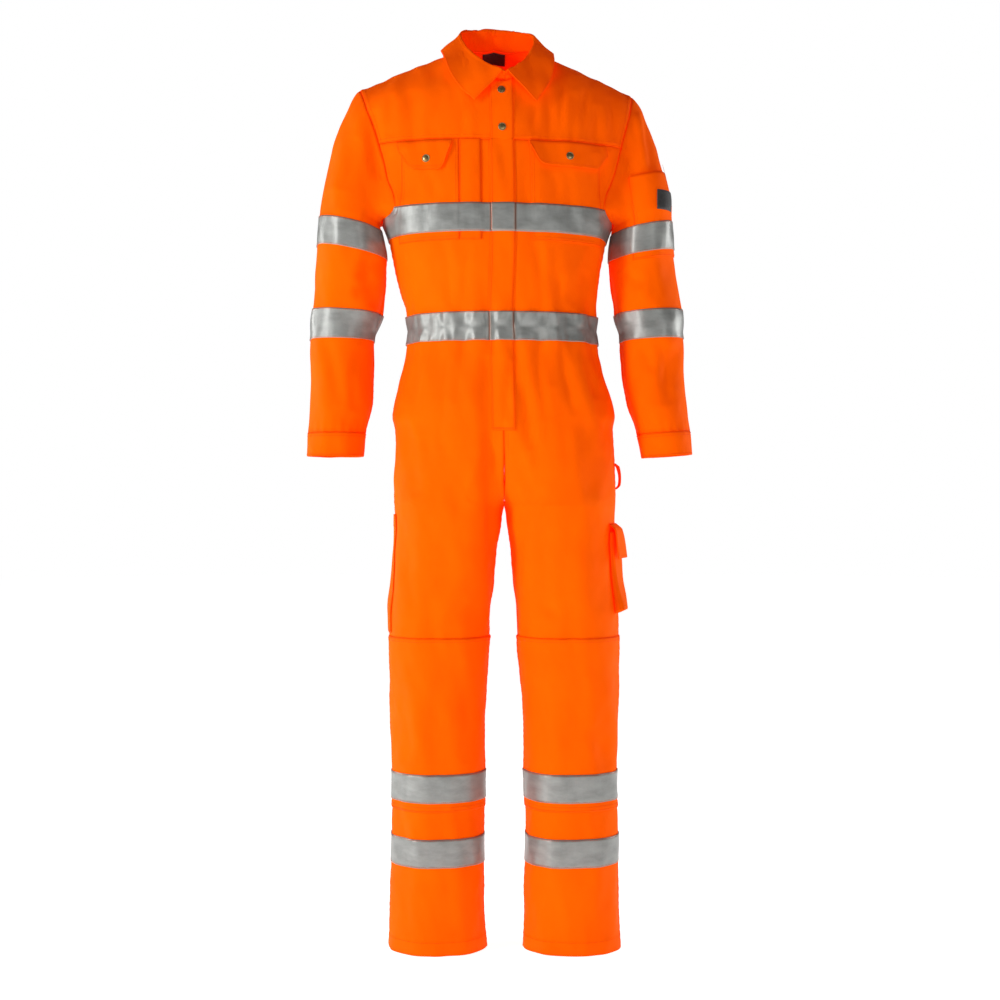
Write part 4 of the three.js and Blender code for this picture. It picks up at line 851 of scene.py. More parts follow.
class Sewing:
    """A group of rows of stitches that becomes one joined mesh."""

    def __init__(self, pattern):
        self.shape, self.faces = pattern
        self.places = []

    def row(self, surface, u, v, out, mirror=False, pitch=STITCH_PITCH, size=1.0, flat=False):
        """Stitches along a path of places on a surface, lying on top of the layer whose outside is out."""
        u, v = np.broadcast_arrays(np.asarray(u, dtype=float), np.asarray(v, dtype=float))
        share = np.linspace(0, 1, len(u))
        steps = np.linspace(0, 1, 700 if len(u) > 2 else 400)
        u, v = np.interp(steps, share, u), np.interp(steps, share, v)
        base = on_surface(surface, u, v)
        level = out(u, v) if callable(out) else out
        low = stand(worn(base, level, mirror, flat=flat)) * 1000
        high = stand(worn(base, level + 1.0, mirror, flat=flat)) * 1000
        run = running_lengths(low, 0)
        count = int(run[-1] / pitch)
        if count < 1:
            return
        at = (np.arange(count) + 0.5) * run[-1] / count
        place = np.stack([np.interp(at, run, low[:, k]) for k in range(3)], axis=1)
        up = unit(np.stack([np.interp(at, run, (high - low)[:, k]) for k in range(3)], axis=1))
        ahead = np.stack([np.interp(at + 0.6, run, low[:, k]) for k in range(3)], axis=1)
        behind = np.stack([np.interp(at - 0.6, run, low[:, k]) for k in range(3)], axis=1)
        along = unit(ahead - behind)
        self.add(place, along, up, size)

    def add(self, place, along, up, size):
        sideways = unit(np.cross(up, along))
        up = unit(np.cross(along, sideways))
        frames = np.stack([along, sideways, up], axis=1)
        turned = np.einsum("vk,nkj->nvj", self.shape * size, frames)
        self.places.append((turned + (place + up * 0.06)[:, None, :]) / 1000)

    def made(self, name, material):
        stitches = np.concatenate(self.places)
        count, corners = stitches.shape[:2]
        faces = []
        for k in range(count):
            faces += [[corner + k * corners for corner in face] for face in self.faces]
        mesh = bpy.data.meshes.new(name)
        mesh.from_pydata(stitches.reshape(-1, 3).tolist(), [], faces)
        mesh.shade_smooth()
        obj = bpy.data.objects.new(name, mesh)
        bpy.context.scene.collection.objects.link(obj)
        obj.data.materials.append(material)
        return obj


# Finishes

def blank_material(name):
    material = bpy.data.materials.new(name)
    material.use_nodes = True
    nodes = material.node_tree.nodes
    return material, nodes, material.node_tree.links.new, nodes["Principled BSDF"]


def turned(nodes, link, source, scale, turn=0.0):
    """The coordinates stretched and turned about Z."""
    mapping = nodes.new("ShaderNodeMapping")
    mapping.inputs["Scale"].default_value = scale
    mapping.inputs["Rotation"].default_value = (0, 0, math.radians(turn))
    link(source, mapping.inputs["Vector"])
    return mapping.outputs["Vector"]


def noise(nodes, link, source, scale, detail=2.0, roughness=0.5):
    texture = nodes.new("ShaderNodeTexNoise")
    texture.inputs["Scale"].default_value = scale
    texture.inputs["Detail"].default_value = detail
    texture.inputs["Roughness"].default_value = roughness
    link(source, texture.inputs["Vector"])
    return texture.outputs["Fac"]


def ribs(nodes, link, source, scale, distortion=0.0):
    texture = nodes.new("ShaderNodeTexWave")
    texture.inputs["Scale"].default_value = scale
    texture.inputs["Distortion"].default_value = distortion
    texture.inputs["Detail"].default_value = 1.0
    link(source, texture.inputs["Vector"])
    return texture.outputs["Fac"]


def ramp(nodes, link, source, stops):
    """A colour or a value by steps of (place, colour)."""
    curve = nodes.new("ShaderNodeValToRGB")
    elements = curve.color_ramp.elements
    while len(elements) < len(stops):
        elements.new(0.5)
    for element, (place, color) in zip(elements, stops):
        element.position = place
        element.color = (*color, 1) if hasattr(color, "__len__") else (color, color, color, 1)
    link(source, curve.inputs["Fac"])
    return curve.outputs["Color"]


def blended(nodes, link, share, first, second, way="MIX"):
    """Two colours, mixed by a share that is a number or an output."""
    blend = nodes.new("ShaderNodeMix")
    blend.data_type = "RGBA"
    blend.blend_type = way
    for value, socket in ((share, blend.inputs[0]), (first, blend.inputs[6]), (second, blend.inputs[7])):
        if isinstance(value, bpy.types.NodeSocket):
            link(value, socket)
        elif hasattr(value, "__len__"):
            socket.default_value = (*value, 1)
        else:
            socket.default_value = value
    return blend.outputs[2]


def bump(nodes, link, height, distance, strength=1.0, under=None):
    """Distance is the height of the relief in metres."""
    relief = nodes.new("ShaderNodeBump")
    relief.inputs["Distance"].default_value = distance
    relief.inputs["Strength"].default_value = strength
    link(height, relief.inputs["Height"])
    if under is not None:
        link(under, relief.inputs["Normal"])
    return relief.outputs["Normal"]


def own_value(nodes, name):
    attribute = nodes.new("ShaderNodeAttribute")
    attribute.attribute_name = name
    return attribute.outputs["Fac"]


def orange_twill(name="orange_twill", shade=1.0):
    """Dense twill in an orange dye with a painted red glow that keeps it red in its shade: steep diagonal ribs of
    uneven yarns, puckered at seams, with painted shade darkening it towards its edges.
    """
    material, nodes, link, shader = blank_material(name)
    threads = nodes.new("ShaderNodeUVMap")
    threads.uv_map = "threads"
    threads = threads.outputs["UV"]
    place = nodes.new("ShaderNodeTexCoord").outputs["Object"]

    diagonal = ribs(nodes, link, turned(nodes, link, threads, (1, 1, 1), 62), 330, 0.6)
    yarns = noise(nodes, link, turned(nodes, link, threads, (260, 1500, 1)), 1.0, 2.0)
    cockle = noise(nodes, link, turned(nodes, link, threads, (1, 0.55, 1)), 62, 3.0, 0.55)
    handled = noise(nodes, link, place, 9.0, 3.0)
    near_edge = own_value(nodes, "edge")

    dye = ramp(nodes, link, handled, [(0.3, (0.88, 0.118, 0.0)), (0.7, (0.92, 0.138, 0.0))])
    dye = blended(nodes, link, ramp(nodes, link, diagonal, [(0.1, 0.16), (0.6, 0.0)]), dye, (0.86, 0.07, 0.001))
    dye = blended(nodes, link, ramp(nodes, link, yarns, [(0.35, 0.10), (0.7, 0.0)]), dye, (1.0, 0.17, 0.0))
    # Painted shade: the cloth turns darker and redder towards its edges, where the seams dip.
    painted_seam_shade = ramp(nodes, link, near_edge, [(0.35, 0.0), (1.0, 0.42)])
    dye = blended(nodes, link, painted_seam_shade, dye, (0.8, 0.052, 0.001))
    link(blended(nodes, link, 1.0, dye, (shade, shade, shade), "MULTIPLY"), shader.inputs["Base Color"])

    rough = ramp(nodes, link, cockle, [(0.3, 0.70), (0.7, 0.84)])
    link(rough, shader.inputs["Roughness"])
    soft = bump(nodes, link, cockle, 0.0009, 0.55)
    woven = bump(nodes, link, yarns, 0.00010, 0.5, soft)
    link(bump(nodes, link, diagonal, 0.00016, 0.6, woven), shader.inputs["Normal"])
    shader.inputs["Specular IOR Level"].default_value = 0.1
    shader.inputs["Specular Tint"].default_value = (1.0, 0.45, 0.08, 1)
    shader.inputs["Sheen Weight"].default_value = 0.12
    shader.inputs["Sheen Roughness"].default_value = 0.45
    shader.inputs["Sheen Tint"].default_value = (1.0, 0.34, 0.02, 1)
    # Painted light: a red emission glow that keeps the cloth red and bright in its shade.
    shader.inputs["Emission Color"].default_value = (1.0, 0.012, 0.0, 1)
    shader.inputs["Emission Strength"].default_value = 0.26
    return material


def reflective_tape():
    """Grey tape faced with fine glass beads: satin, a little cracked and creased, with a plain woven edge."""
    material, nodes, link, shader = blank_material("reflective_tape")
    threads = nodes.new("ShaderNodeUVMap")
    threads.uv_map = "threads"
    threads = threads.outputs["UV"]
    beads = noise(nodes, link, threads, 2600, 1.0)
    rubbed = noise(nodes, link, turned(nodes, link, threads, (1, 2.2, 1)), 26, 4.0, 0.6)
    creased = noise(nodes, link, turned(nodes, link, threads, (1.0, 0.3, 1)), 95, 3.0, 0.6)
    near_edge = own_value(nodes, "edge")
    grey = ramp(nodes, link, rubbed, [(0.3, (0.22, 0.225, 0.21)), (0.72, (0.34, 0.345, 0.33))])
    grey = blended(nodes, link, ramp(nodes, link, beads, [(0.45, 0.0), (0.8, 0.22)]), grey, (0.5, 0.52, 0.52))
    grey = blended(nodes, link, ramp(nodes, link, near_edge, [(0.55, 0.0), (1.0, 0.55)]), grey, (0.42, 0.22, 0.13))
    link(grey, shader.inputs["Base Color"])
    link(ramp(nodes, link, rubbed, [(0.3, 0.36), (0.7, 0.46)]), shader.inputs["Roughness"])
    fine_relief = bump(nodes, link, beads, 0.00005, 0.5)
    link(bump(nodes, link, creased, 0.0007, 0.5, fine_relief), shader.inputs["Normal"])
    shader.inputs["Metallic"].default_value = 0.35
    shader.inputs["Specular IOR Level"].default_value = 0.55
    return material


def label_weave():
    """Black damask label cloth, with no lettering."""
    material, nodes, link, shader = blank_material("label_weave")
    threads = nodes.new("ShaderNodeUVMap")
    threads.uv_map = "threads"
    threads = threads.outputs["UV"]
    warp = ribs(nodes, link, threads, 520)
    weft = ribs(nodes, link, turned(nodes, link, threads, (1, 1, 1), 90), 700)
    both = blended(nodes, link, 0.5, warp, weft)
    mottled = noise(nodes, link, threads, 240, 3.0)
    black = ramp(nodes, link, mottled, [(0.3, (0.010, 0.009, 0.009)), (0.75, (0.030, 0.026, 0.024))])
    fold = ramp(nodes, link, own_value(nodes, "edge"), [(0.6, 0.0), (1.0, 0.5)])
    link(blended(nodes, link, fold, black, (0.07, 0.06, 0.055)), shader.inputs["Base Color"])
    link(bump(nodes, link, both, 0.00012, 0.7), shader.inputs["Normal"])
    shader.inputs["Roughness"].default_value = 0.72
    shader.inputs["Sheen Weight"].default_value = 0.15
    return material


def antique_brass():
    """Brass studs with a dark patina in the recesses and a brighter, rubbed rim."""
    material, nodes, link, shader = blank_material("antique_brass")
    place = nodes.new("ShaderNodeTexCoord").outputs["Object"]
    patina = noise(nodes, link, place, 700, 4.0, 0.6)
    scratched = noise(nodes, link, turned(nodes, link, place, (3000, 400, 400), 30), 1.0, 2.0)
    tone = ramp(nodes, link, patina, [(0.32, (0.17, 0.115, 0.05)), (0.62, (0.50, 0.37, 0.17))])
    tone = blended(nodes, link, ramp(nodes, link, scratched, [(0.55, 0.0), (0.8, 0.4)]), tone, (0.72, 0.58, 0.32))
    link(tone, shader.inputs["Base Color"])
    link(ramp(nodes, link, patina, [(0.3, 0.48), (0.7, 0.27)]), shader.inputs["Roughness"])
    link(bump(nodes, link, patina, 0.00008, 0.5), shader.inputs["Normal"])
    shader.inputs["Metallic"].default_value = 0.95
    return material


def sewing_thread():
    """Twisted polyester thread in the cloth's orange, a little glossier than the cloth."""
    material, nodes, link, shader = blank_material("sewing_thread")
    place = nodes.new("ShaderNodeTexCoord").outputs["Object"]
    plies = ribs(nodes, link, turned(nodes, link, place, (1, 1, 1), 40), 640)
    tone = ramp(nodes, link, plies, [(0.2, (0.46, 0.030, 0.0)), (0.8, (0.66, 0.062, 0.0))])
    link(tone, shader.inputs["Base Color"])
    link(bump(nodes, link, plies, 0.0001, 0.5), shader.inputs["Normal"])
    shader.inputs["Roughness"].default_value = 0.65
    shader.inputs["Specular IOR Level"].default_value = 0.1
    return material


TWILL = orange_twill()
TAPE = reflective_tape()
LABEL = label_weave()
BRASS = antique_brass()
THREAD = sewing_thread()

# Pieces. Each cloth piece replaces the solid of the same name.


def cloth_piece(name, base, out, thickness=CLOTH, material=TWILL, mirror=False, middle=None, flat=False,
                seamless=False):
    grid = stand(worn(base, np.asarray(out) + thickness, mirror, middle, flat))
    if mirror is True:
        grid = grid[:, ::-1]
    obj = sheet_object(f"{name}_cloth", grid, thickness, material, seamless)
    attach(obj, "root")
    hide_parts(name)
    return obj


def places(columns, rows):
    return np.meshgrid(np.asarray(columns, dtype=float), np.asarray(rows, dtype=float))


def beside(surface, u, v, across=0.0, upward=0.0):
    """The place that lies some millimetres away along the surface."""
    u, v = np.broadcast_arrays(np.asarray(u, dtype=float), np.asarray(v, dtype=float))
    tiny = 1e-3
    speed_u = length_of(surface(u + tiny, v) - surface(u - tiny, v))[..., 0] / (2 * tiny)
    speed_v = length_of(surface(u, v + tiny) - surface(u, v - tiny))[..., 0] / (2 * tiny)
    return u + across / speed_u, v + upward / speed_v


SIDES = (("left", False), ("right", True))
SEAM_ROWS = (1.7, 7.2)
EDGE_ROW = 2.4


# Trousers, with a pocket over each knee and shin

FRONT_ARC = 255
BACK_ARC = 275
LEG_TAPES = (("lower", 153, 203), ("upper", 266, 316))
WAIST_TAPE = (1066, 1116)
TROUSER_ROWS = fine([
    0, 1.5, 3, 21, 24, 26, 28, 76, 153, 203, 250, 266, 316, 363, 540, 546, 550, 552.6, 554, 556, 560, 606, 658,
    706, 746, 768, 780, 786, 798, 864, 912, 1066, 1084, 1089, WAIST_HEIGHT - HALF_GAP,
], 5.2)
SEAM_COLUMNS = [0, 0.006, 0.013, 0.022, 0.029, 0.036, 0.045]
TROUSER_FRONT_COLUMNS = fine(SEAM_COLUMNS + [0.1, 0.955, 0.985, 0.994, 1], 0.0205)
TROUSER_BACK_COLUMNS = fine(SEAM_COLUMNS + [0.1, 0.955, 0.985, 0.994, 1], 0.0195)


def hem_turn(h):
    return 0.5 * ease((HEM_TURN_HEIGHT + 1 - h) / 2.5)


def trouser_front_out(u, h):
    inner, outer = u * FRONT_ARC, (1 - u) * FRONT_ARC
    relief = seam_relief(inner, lapped=True) + seam_relief(outer)
    relief = relief + pucker(inner, h) + pucker(outer, h + 7) + pucker(WAIST_HEIGHT - h, u * FRONT_ARC, 10)
    relief = relief + pucker(np.abs(h - HEM_TURN_HEIGHT), u * FRONT_ARC, 9, 0.4, 15)
    return relief + hem_turn(h)


def trouser_back_out(u, h):
    outer, inner = u * BACK_ARC, (1 - u) * BACK_ARC
    relief = seam_relief(outer, lapped=True) + np.where(h > CROTCH_HEIGHT, seam_relief(inner, True), seam_relief(inner))
    relief = relief + pucker(inner, h) + pucker(outer, h + 7) + pucker(WAIST_HEIGHT - h, u * BACK_ARC, 10)
    relief = relief + pucker(np.abs(h - HEM_TURN_HEIGHT), u * BACK_ARC, 9, 0.4, 15)
    return relief + hem_turn(h)


def knee_pocket_out(u, h):
    inner, outer = u * FRONT_ARC, (1 - u) * FRONT_ARC
    top, bottom = KNEE_SEAM_HEIGHT - h, h - KNEE_POCKET_END_HEIGHT
    relief = trouser_front_out(u, h) + seam_relief(top, lapped=True) - 0.5 * np.exp(-((bottom / 1.6) ** 2))
    relief = relief + pucker(top, u * FRONT_ARC, 12, 0.5, 16) + 0.35 * ease((11 - bottom) / 2)
    return ON_PANEL + 0.25 + relief


def make_trousers():
    rows = TROUSER_ROWS
    knee_rows = between(rows, KNEE_POCKET_END_HEIGHT, KNEE_SEAM_HEIGHT)
    for side, mirror in SIDES:
        u, h = places(TROUSER_FRONT_COLUMNS, rows)
        cloth_piece(f"trouser_front_{side}", on_surface(trouser_front, u, h), trouser_front_out(u, h),
                    mirror=mirror)
        u, h = places(TROUSER_BACK_COLUMNS, rows)
        cloth_piece(f"trouser_back_{side}", on_surface(trouser_back, u, h), trouser_back_out(u, h),
                    mirror=mirror)
        u, h = places(TROUSER_FRONT_COLUMNS, knee_rows)
        cloth_piece(f"knee_pocket_{side}", on_surface(trouser_front, u, h), knee_pocket_out(u, h),
                    mirror=mirror)


def leg_tape_out(surface, u, h):
    if surface is trouser_back:
        return trouser_back_out(u, h) * 0.6 + ON_PANEL + 0.2
    over_pocket = h > KNEE_POCKET_END_HEIGHT
    pocket_out = knee_pocket_out(u, h) + CLOTH + 0.45
    return np.where(over_pocket, pocket_out, trouser_front_out(u, h) * 0.6 + ON_PANEL + 0.2)


def joined_base(*bases):
    return tuple(np.concatenate([base[k] for base in bases], axis=1) for k in (0, 1))


def make_leg_tapes():
    for name, start, end in LEG_TAPES:
        rows = between(TROUSER_ROWS, start, end)
        front_u, front_h = places(TROUSER_FRONT_COLUMNS[1:], rows)
        back_u, back_h = places(TROUSER_BACK_COLUMNS[1:-1], rows)
        base = joined_base(on_surface(trouser_front, front_u, front_h), on_surface(trouser_back, back_u, back_h))
        out = np.concatenate([leg_tape_out(trouser_front, front_u, front_h),
                              leg_tape_out(trouser_back, back_u, back_h)], axis=1)
        out = out + pucker(np.minimum(rows - start, end - rows)[:, None], np.arange(out.shape[1]) * 5.1, 9, 0.28, 12)
        for side, mirror in SIDES:
            cloth_piece(f"leg_tape_{name}_{side}", base, out, TAPE_CLOTH, TAPE, mirror)


# Pockets on the outer sides of the thighs, given by the angle from the side seam, with the front below 0

CLEAR_OF_PANEL = ON_PANEL + 1
THIGH_POCKET = (-0.5, 0.95)
THIGH_POCKET_ROWS = Table(("h", "stands"), [(594, 0), (600, 15), (650, 10), (700, 8), (738, 5)])
THIGH_FLAP = (-0.54, 0.99)
THIGH_FLAP_ROWS = Table(("h", "stands"), [(690, 16), (716, 14), (742, 9), (752, -1.8)])
RULER_POCKET = (-0.36, 0.42)
RULER_POCKET_HEIGHTS = (560, 768)
THIGH_LOOP = (-0.1, 0.2)
THIGH_LOOP_ROWS = Table(("h", "stands"), [(812, 0), (819, 7), (835, 9), (851, 7), (858, 0)])
THIGH_RADIUS = 92


def side_relief(u, span):
    near = np.minimum(u - span[0], span[1] - u) * THIGH_RADIUS
    return seam_relief(near) + pucker(near, u * 0 + 1)


def thigh_pocket_out(u, h):
    inside = ease(np.minimum(u - THIGH_POCKET[0], THIGH_POCKET[1] - u) / 0.05)
    sag = 2.2 * np.sin(u * 5.1 + 0.8) * ease((h - 600) / 30) * ease((738 - h) / 60)
    return CLEAR_OF_PANEL + THIGH_POCKET_ROWS.read("stands", h) * inside + np.maximum(sag, -1.5) * inside


def thigh_flap_out(u, h):
    wave = 1.6 * np.sin(u * 4.3 + 2.0) * ease((742 - h) / 40)
    return CLEAR_OF_PANEL + CLOTH + GAP + THIGH_FLAP_ROWS.read("stands", h) + wave


def ruler_pocket_out(u, h):
    near = np.minimum(np.minimum(u - RULER_POCKET[0], RULER_POCKET[1] - u) * THIGH_RADIUS, h - RULER_POCKET_HEIGHTS[0])
    return CLEAR_OF_PANEL + 0.7 * seam_relief(near) + 0.4 * ease((h - 745) / 2)


def thigh_loop_out(u, h):
    return CLEAR_OF_PANEL + THIGH_LOOP_ROWS.read("stands", h)


def make_thigh_pockets():
    u, h = places(fine([THIGH_POCKET[0], THIGH_POCKET[0] + 0.05, THIGH_POCKET[1] - 0.05, THIGH_POCKET[1]], 0.03),
                  fine([594, 596, 600, 610, 738], 4))
    cloth_piece("thigh_pocket", on_surface(trouser_side, u, h), thigh_pocket_out(u, h))
    u, h = places(fine(THIGH_FLAP, 0.035), fine([690, 742, 747, 752], 3.5))
    cloth_piece("thigh_pocket_flap", on_surface(trouser_side, u, h), thigh_flap_out(u, h), FLAP_CLOTH)
    u, h = places(fine(RULER_POCKET, 0.03), fine([*RULER_POCKET_HEIGHTS], 4))
    cloth_piece("ruler_pocket", on_surface(trouser_side, u, h), ruler_pocket_out(u, h), mirror=True)
    u, h = places(fine(THIGH_LOOP, 0.03), fine([812, 815, 819, 851, 855, 858], 2.5))
    cloth_piece("thigh_loop", on_surface(trouser_side, u, h), thigh_loop_out(u, h))


# Bodice, yokes and placket

CHEST_TAPE = (1250, 1299)
BODICE_ROWS = fine([
    WAIST_HEIGHT + HALF_GAP, 1093, 1098, 1116, 1152, 1194, POCKET_END_HEIGHT, 1238, 1241, CHEST_TAPE[0], 1268, 1283, 1288,
    CHEST_TAPE[1], 1322, 1352, 1382, 1402, 1406, 1408.4, YOKE_HEIGHT - HALF_GAP,
], 4.8)
FRONT_COLUMNS = np.concatenate([
    fine([HALF_GAP, 10, PLACKET_HALF_WIDTH, 36, 48, 50, 56, 73, 75, 81, 106, 139, 166, 170, POCKET_EDGE], 4.6),
    fine([POCKET_EDGE, 186, 194, 197, 198.4, 199.3, BODICE_EDGE], 1.7)[1:],
])
BACK_COLUMNS = fine([-1, -0.996, -0.99, -0.978, 0, 0.978, 0.99, 0.996, 1], 0.0195)
BODICE_EDGE_SCALE = 2.2
PLACKET_SHARE = PLACKET_HALF_WIDTH / 225
NECK_PLACES = [PLACKET_SHARE / NECK_SHARE, 0.55, 0.78, 0.92, 1]
YOKE_HALF = [place * NECK_SHARE for place in NECK_PLACES] + [0.5, 0.7, 0.9, 0.965, 0.984, 0.994, 1]
YOKE_FRONT_COLUMNS = fine([HALF_GAP / SHOULDER_TIP_X, *YOKE_HALF], 0.019)
YOKE_BACK_COLUMNS = fine([-share for share in reversed(YOKE_HALF)] + [0, *YOKE_HALF], 0.019)
YOKE_ROWS = fine([0, 0.008, 0.02, 0.034, 0.05, 0.066, 0.1, 0.9, 0.96, 0.985, 1], 0.034)
YOKE_LENGTH = 150


def bodice_front_out(u, h):
    side = (BODICE_EDGE - u) * BODICE_EDGE_SCALE
    relief = seam_relief(side, lapped=True) + seam_relief(YOKE_HEIGHT - h) + seam_relief(h - WAIST_HEIGHT)
    relief = relief + pucker(side, h, 9, 0.4) + pucker(YOKE_HEIGHT - h, u, 9, 0.35)
    return relief + pucker(h - WAIST_HEIGHT, u, 14, 0.5)


def bodice_back_out(u, h):
    side = (1 - np.abs(u)) * 230
    relief = seam_relief(side) + seam_relief(YOKE_HEIGHT - h) + seam_relief(h - WAIST_HEIGHT)
    relief = relief + pucker(side, h, 9, 0.4) + pucker(YOKE_HEIGHT - h, u * 230, 9, 0.35)
    return relief + pucker(h - WAIST_HEIGHT, u * 230, 14, 0.5)


def yoke_out(u, v):
    low, side, top = v * YOKE_LENGTH, (1 - np.abs(u)) * 240, (1 - v) * YOKE_LENGTH
    relief = seam_relief(low, lapped=True) + seam_relief(side, lapped=True) + seam_relief(top)
    return relief + pucker(low, u * 225, 9, 0.35) + pucker(side, v * YOKE_LENGTH, 9, 0.4)


def placket_out(t, level):
    edge = (1 - np.abs(t)) * PLACKET_HALF_WIDTH
    return ON_PANEL + 0.25 + 0.5 * seam_relief(edge) + 0.22 * np.sin(level / 23.0) * np.exp(-edge / 6)


def placket_base(surface, t, edge, seam, v):
    u = np.maximum(np.abs(t) * edge, seam)
    return on_surface(surface, u, v)


def make_bodice():
    for side, mirror in SIDES:
        u, h = places(FRONT_COLUMNS, BODICE_ROWS)
        cloth_piece(f"bodice_front_{side}", on_surface(bodice_front, u, h), bodice_front_out(u, h), mirror=mirror)
        u, v = places(YOKE_FRONT_COLUMNS, YOKE_ROWS)
        cloth_piece(f"yoke_front_{side}", on_surface(yoke_front, u, v), yoke_out(u, v), mirror=mirror)
    u, h = places(BACK_COLUMNS, BODICE_ROWS)
    cloth_piece("bodice_back", on_surface(bodice_back, u, h), bodice_back_out(u, h))
    u, v = places(YOKE_BACK_COLUMNS, YOKE_ROWS)
    cloth_piece("yoke_back", on_surface(yoke_back, u, v), yoke_out(u, v))


PLACKET_COLUMNS = fine([-1, -0.93, -0.86, 0, 0.86, 0.93, 1], 0.15)
PLACKET_TOP = 0.95


def placket_parts():
    """The placket's surfaces from the fly up to the neck, each with its edge, its middle and its rows."""
    yoke_rows = np.append(YOKE_ROWS[YOKE_ROWS < PLACKET_TOP - 0.01], PLACKET_TOP)
    return [
        (trouser_front, FLY_COLUMN, 0, between(TROUSER_ROWS, FLY_END_HEIGHT, WAIST_HEIGHT)),
        (bodice_front, PLACKET_HALF_WIDTH, HALF_GAP, BODICE_ROWS),
        (yoke_front, PLACKET_SHARE, HALF_GAP / SHOULDER_TIP_X, yoke_rows),
    ]


def make_placket():
    bases, levels = [], []
    for surface, edge, seam, rows in placket_parts():
        t, v = places(PLACKET_COLUMNS, rows)
        bases.append(placket_base(surface, t, edge, seam, v))
        levels.append(v * YOKE_LENGTH + YOKE_HEIGHT if surface is yoke_front else v)
    base = tuple(np.concatenate([part[k] for part in bases], axis=0) for k in (0, 1))
    level = np.concatenate(levels, axis=0)
    t = np.broadcast_to(PLACKET_COLUMNS, level.shape)
    cloth_piece("placket", base, placket_out(t, level), FLAP_CLOTH, mirror=t < 0, middle=np.abs(t) < 1e-6)


# Chest pockets with their flaps, and the pen pocket beside the right one

FLAP_COLUMNS = ("step", "top_x", "top_h", "low_x", "low_h")
LEFT_FLAP = Table(FLAP_COLUMNS, [
    (0, 45, 1408, 48, 1400), (1, 72, 1408, 70, 1366), (2, 115, 1408, 115, 1364), (3, 158, 1408, 160, 1364),
    (4, 181, 1408, 184, 1390),
])
RIGHT_FLAP = Table(FLAP_COLUMNS, [
    (0, -179, 1408, -173, 1388), (1, -160, 1408, -150, 1359), (2, -128, 1408, -128, 1357),
    (3, -104, 1408, -106, 1356), (4, -85, 1408, -87, 1399),
])


def flap_surface(lines):
    def surface(u, v):
        x = mix(lines.read("low_x", u), lines.read("top_x", u), v)
        h = mix(lines.read("low_h", u), lines.read("top_h", u), v)
        angle = np.sign(x) * angle_of_sin(np.abs(x) / BODICE.read("half", h))
        return bodice_ring("front", h, angle)

    return surface


left_flap = flap_surface(LEFT_FLAP)
right_flap = flap_surface(RIGHT_FLAP)


def flap_out(u, v):
    curl = 0.9 * np.sin(u * 1.9 + 0.4) * (1 - v) ** 2
    return ON_POCKET + 0.9 + 3 * (1 - v) + curl * 0.5 - 0.4 * np.exp(-(((1 - v) / 0.05) ** 2))


def chest_pocket_out(inner, outer):
    def out(u, h):
        near = np.minimum(np.minimum(u - inner, outer - u), h - POCKET_END_HEIGHT)
        full = 1.5 * np.sin(np.pi * clamp01((u - inner) / (outer - inner))) * np.sin(np.pi * clamp01((h - 1236) / 174))
        sewn = pucker(h - POCKET_END_HEIGHT, u, 8, 0.4) + pucker(np.minimum(u - inner, outer - u), h, 7, 0.3)
        return ON_PANEL + 0.3 + full + 0.6 * seam_relief(near, lapped=True) + np.maximum(sewn, -0.25)

    return out


left_pocket_out = chest_pocket_out(48, POCKET_EDGE)
right_pocket_out = chest_pocket_out(73, POCKET_EDGE)
pen_pocket_out = chest_pocket_out(36, 73)


def make_chest_pockets():
    rows = between(BODICE_ROWS, POCKET_END_HEIGHT, YOKE_HEIGHT)
    for name, start, out, mirror in (
        ("chest_pocket_left", 48, left_pocket_out, False),
        ("chest_pocket_right", 73.6, right_pocket_out, True),
        ("pen_pocket", 36, pen_pocket_out, True),
    ):
        end = POCKET_EDGE if start != 36 else 73
        columns = between(FRONT_COLUMNS, start, end)
        if columns[0] > start:
            columns = np.insert(columns, 0, start)
        u, h = places(columns, rows)
        side = "right" if mirror else "left"
        cloth_piece(name, on_surface(bodice_front, u, h), out(u, h), mirror=mirror)
    for side, surface in (("left", left_flap), ("right", right_flap)):
        u, v = places(fine([0, 0.06, 0.5, 1, 2, 3, 3.5, 3.94, 4], 0.11), fine([0, 0.06, 0.94, 1], 0.09))
        cloth_piece(f"chest_flap_{side}", on_surface(surface, u, v), flap_out(u, v), FLAP_CLOTH)


# Tapes round the chest and over the waist seam

def tape_pucker(along, rows, start, end):
    return pucker(np.minimum(rows - start, end - rows), along, 9, 0.3, 12)


def chest_tape_out(u, h, side):
    pocket_start = 48 if side == "left" else 36
    over = ease((u - pocket_start + 6) / 5) * ease((POCKET_EDGE + 6 - u) / 5)
    level = np.where(u < pocket_start + 20, 0.25, 1.0)
    bulge = (left_pocket_out(u, h) if side == "left" else np.where(u < 73, pen_pocket_out(u, h), right_pocket_out(u, h)))
    lift = mix(ON_PANEL + 0.35 + bodice_front_out(u, h) * 0.4, np.maximum(bulge, ON_PANEL) + CLOTH + 0.4, over)
    return lift + tape_pucker(u, h, *CHEST_TAPE) * level


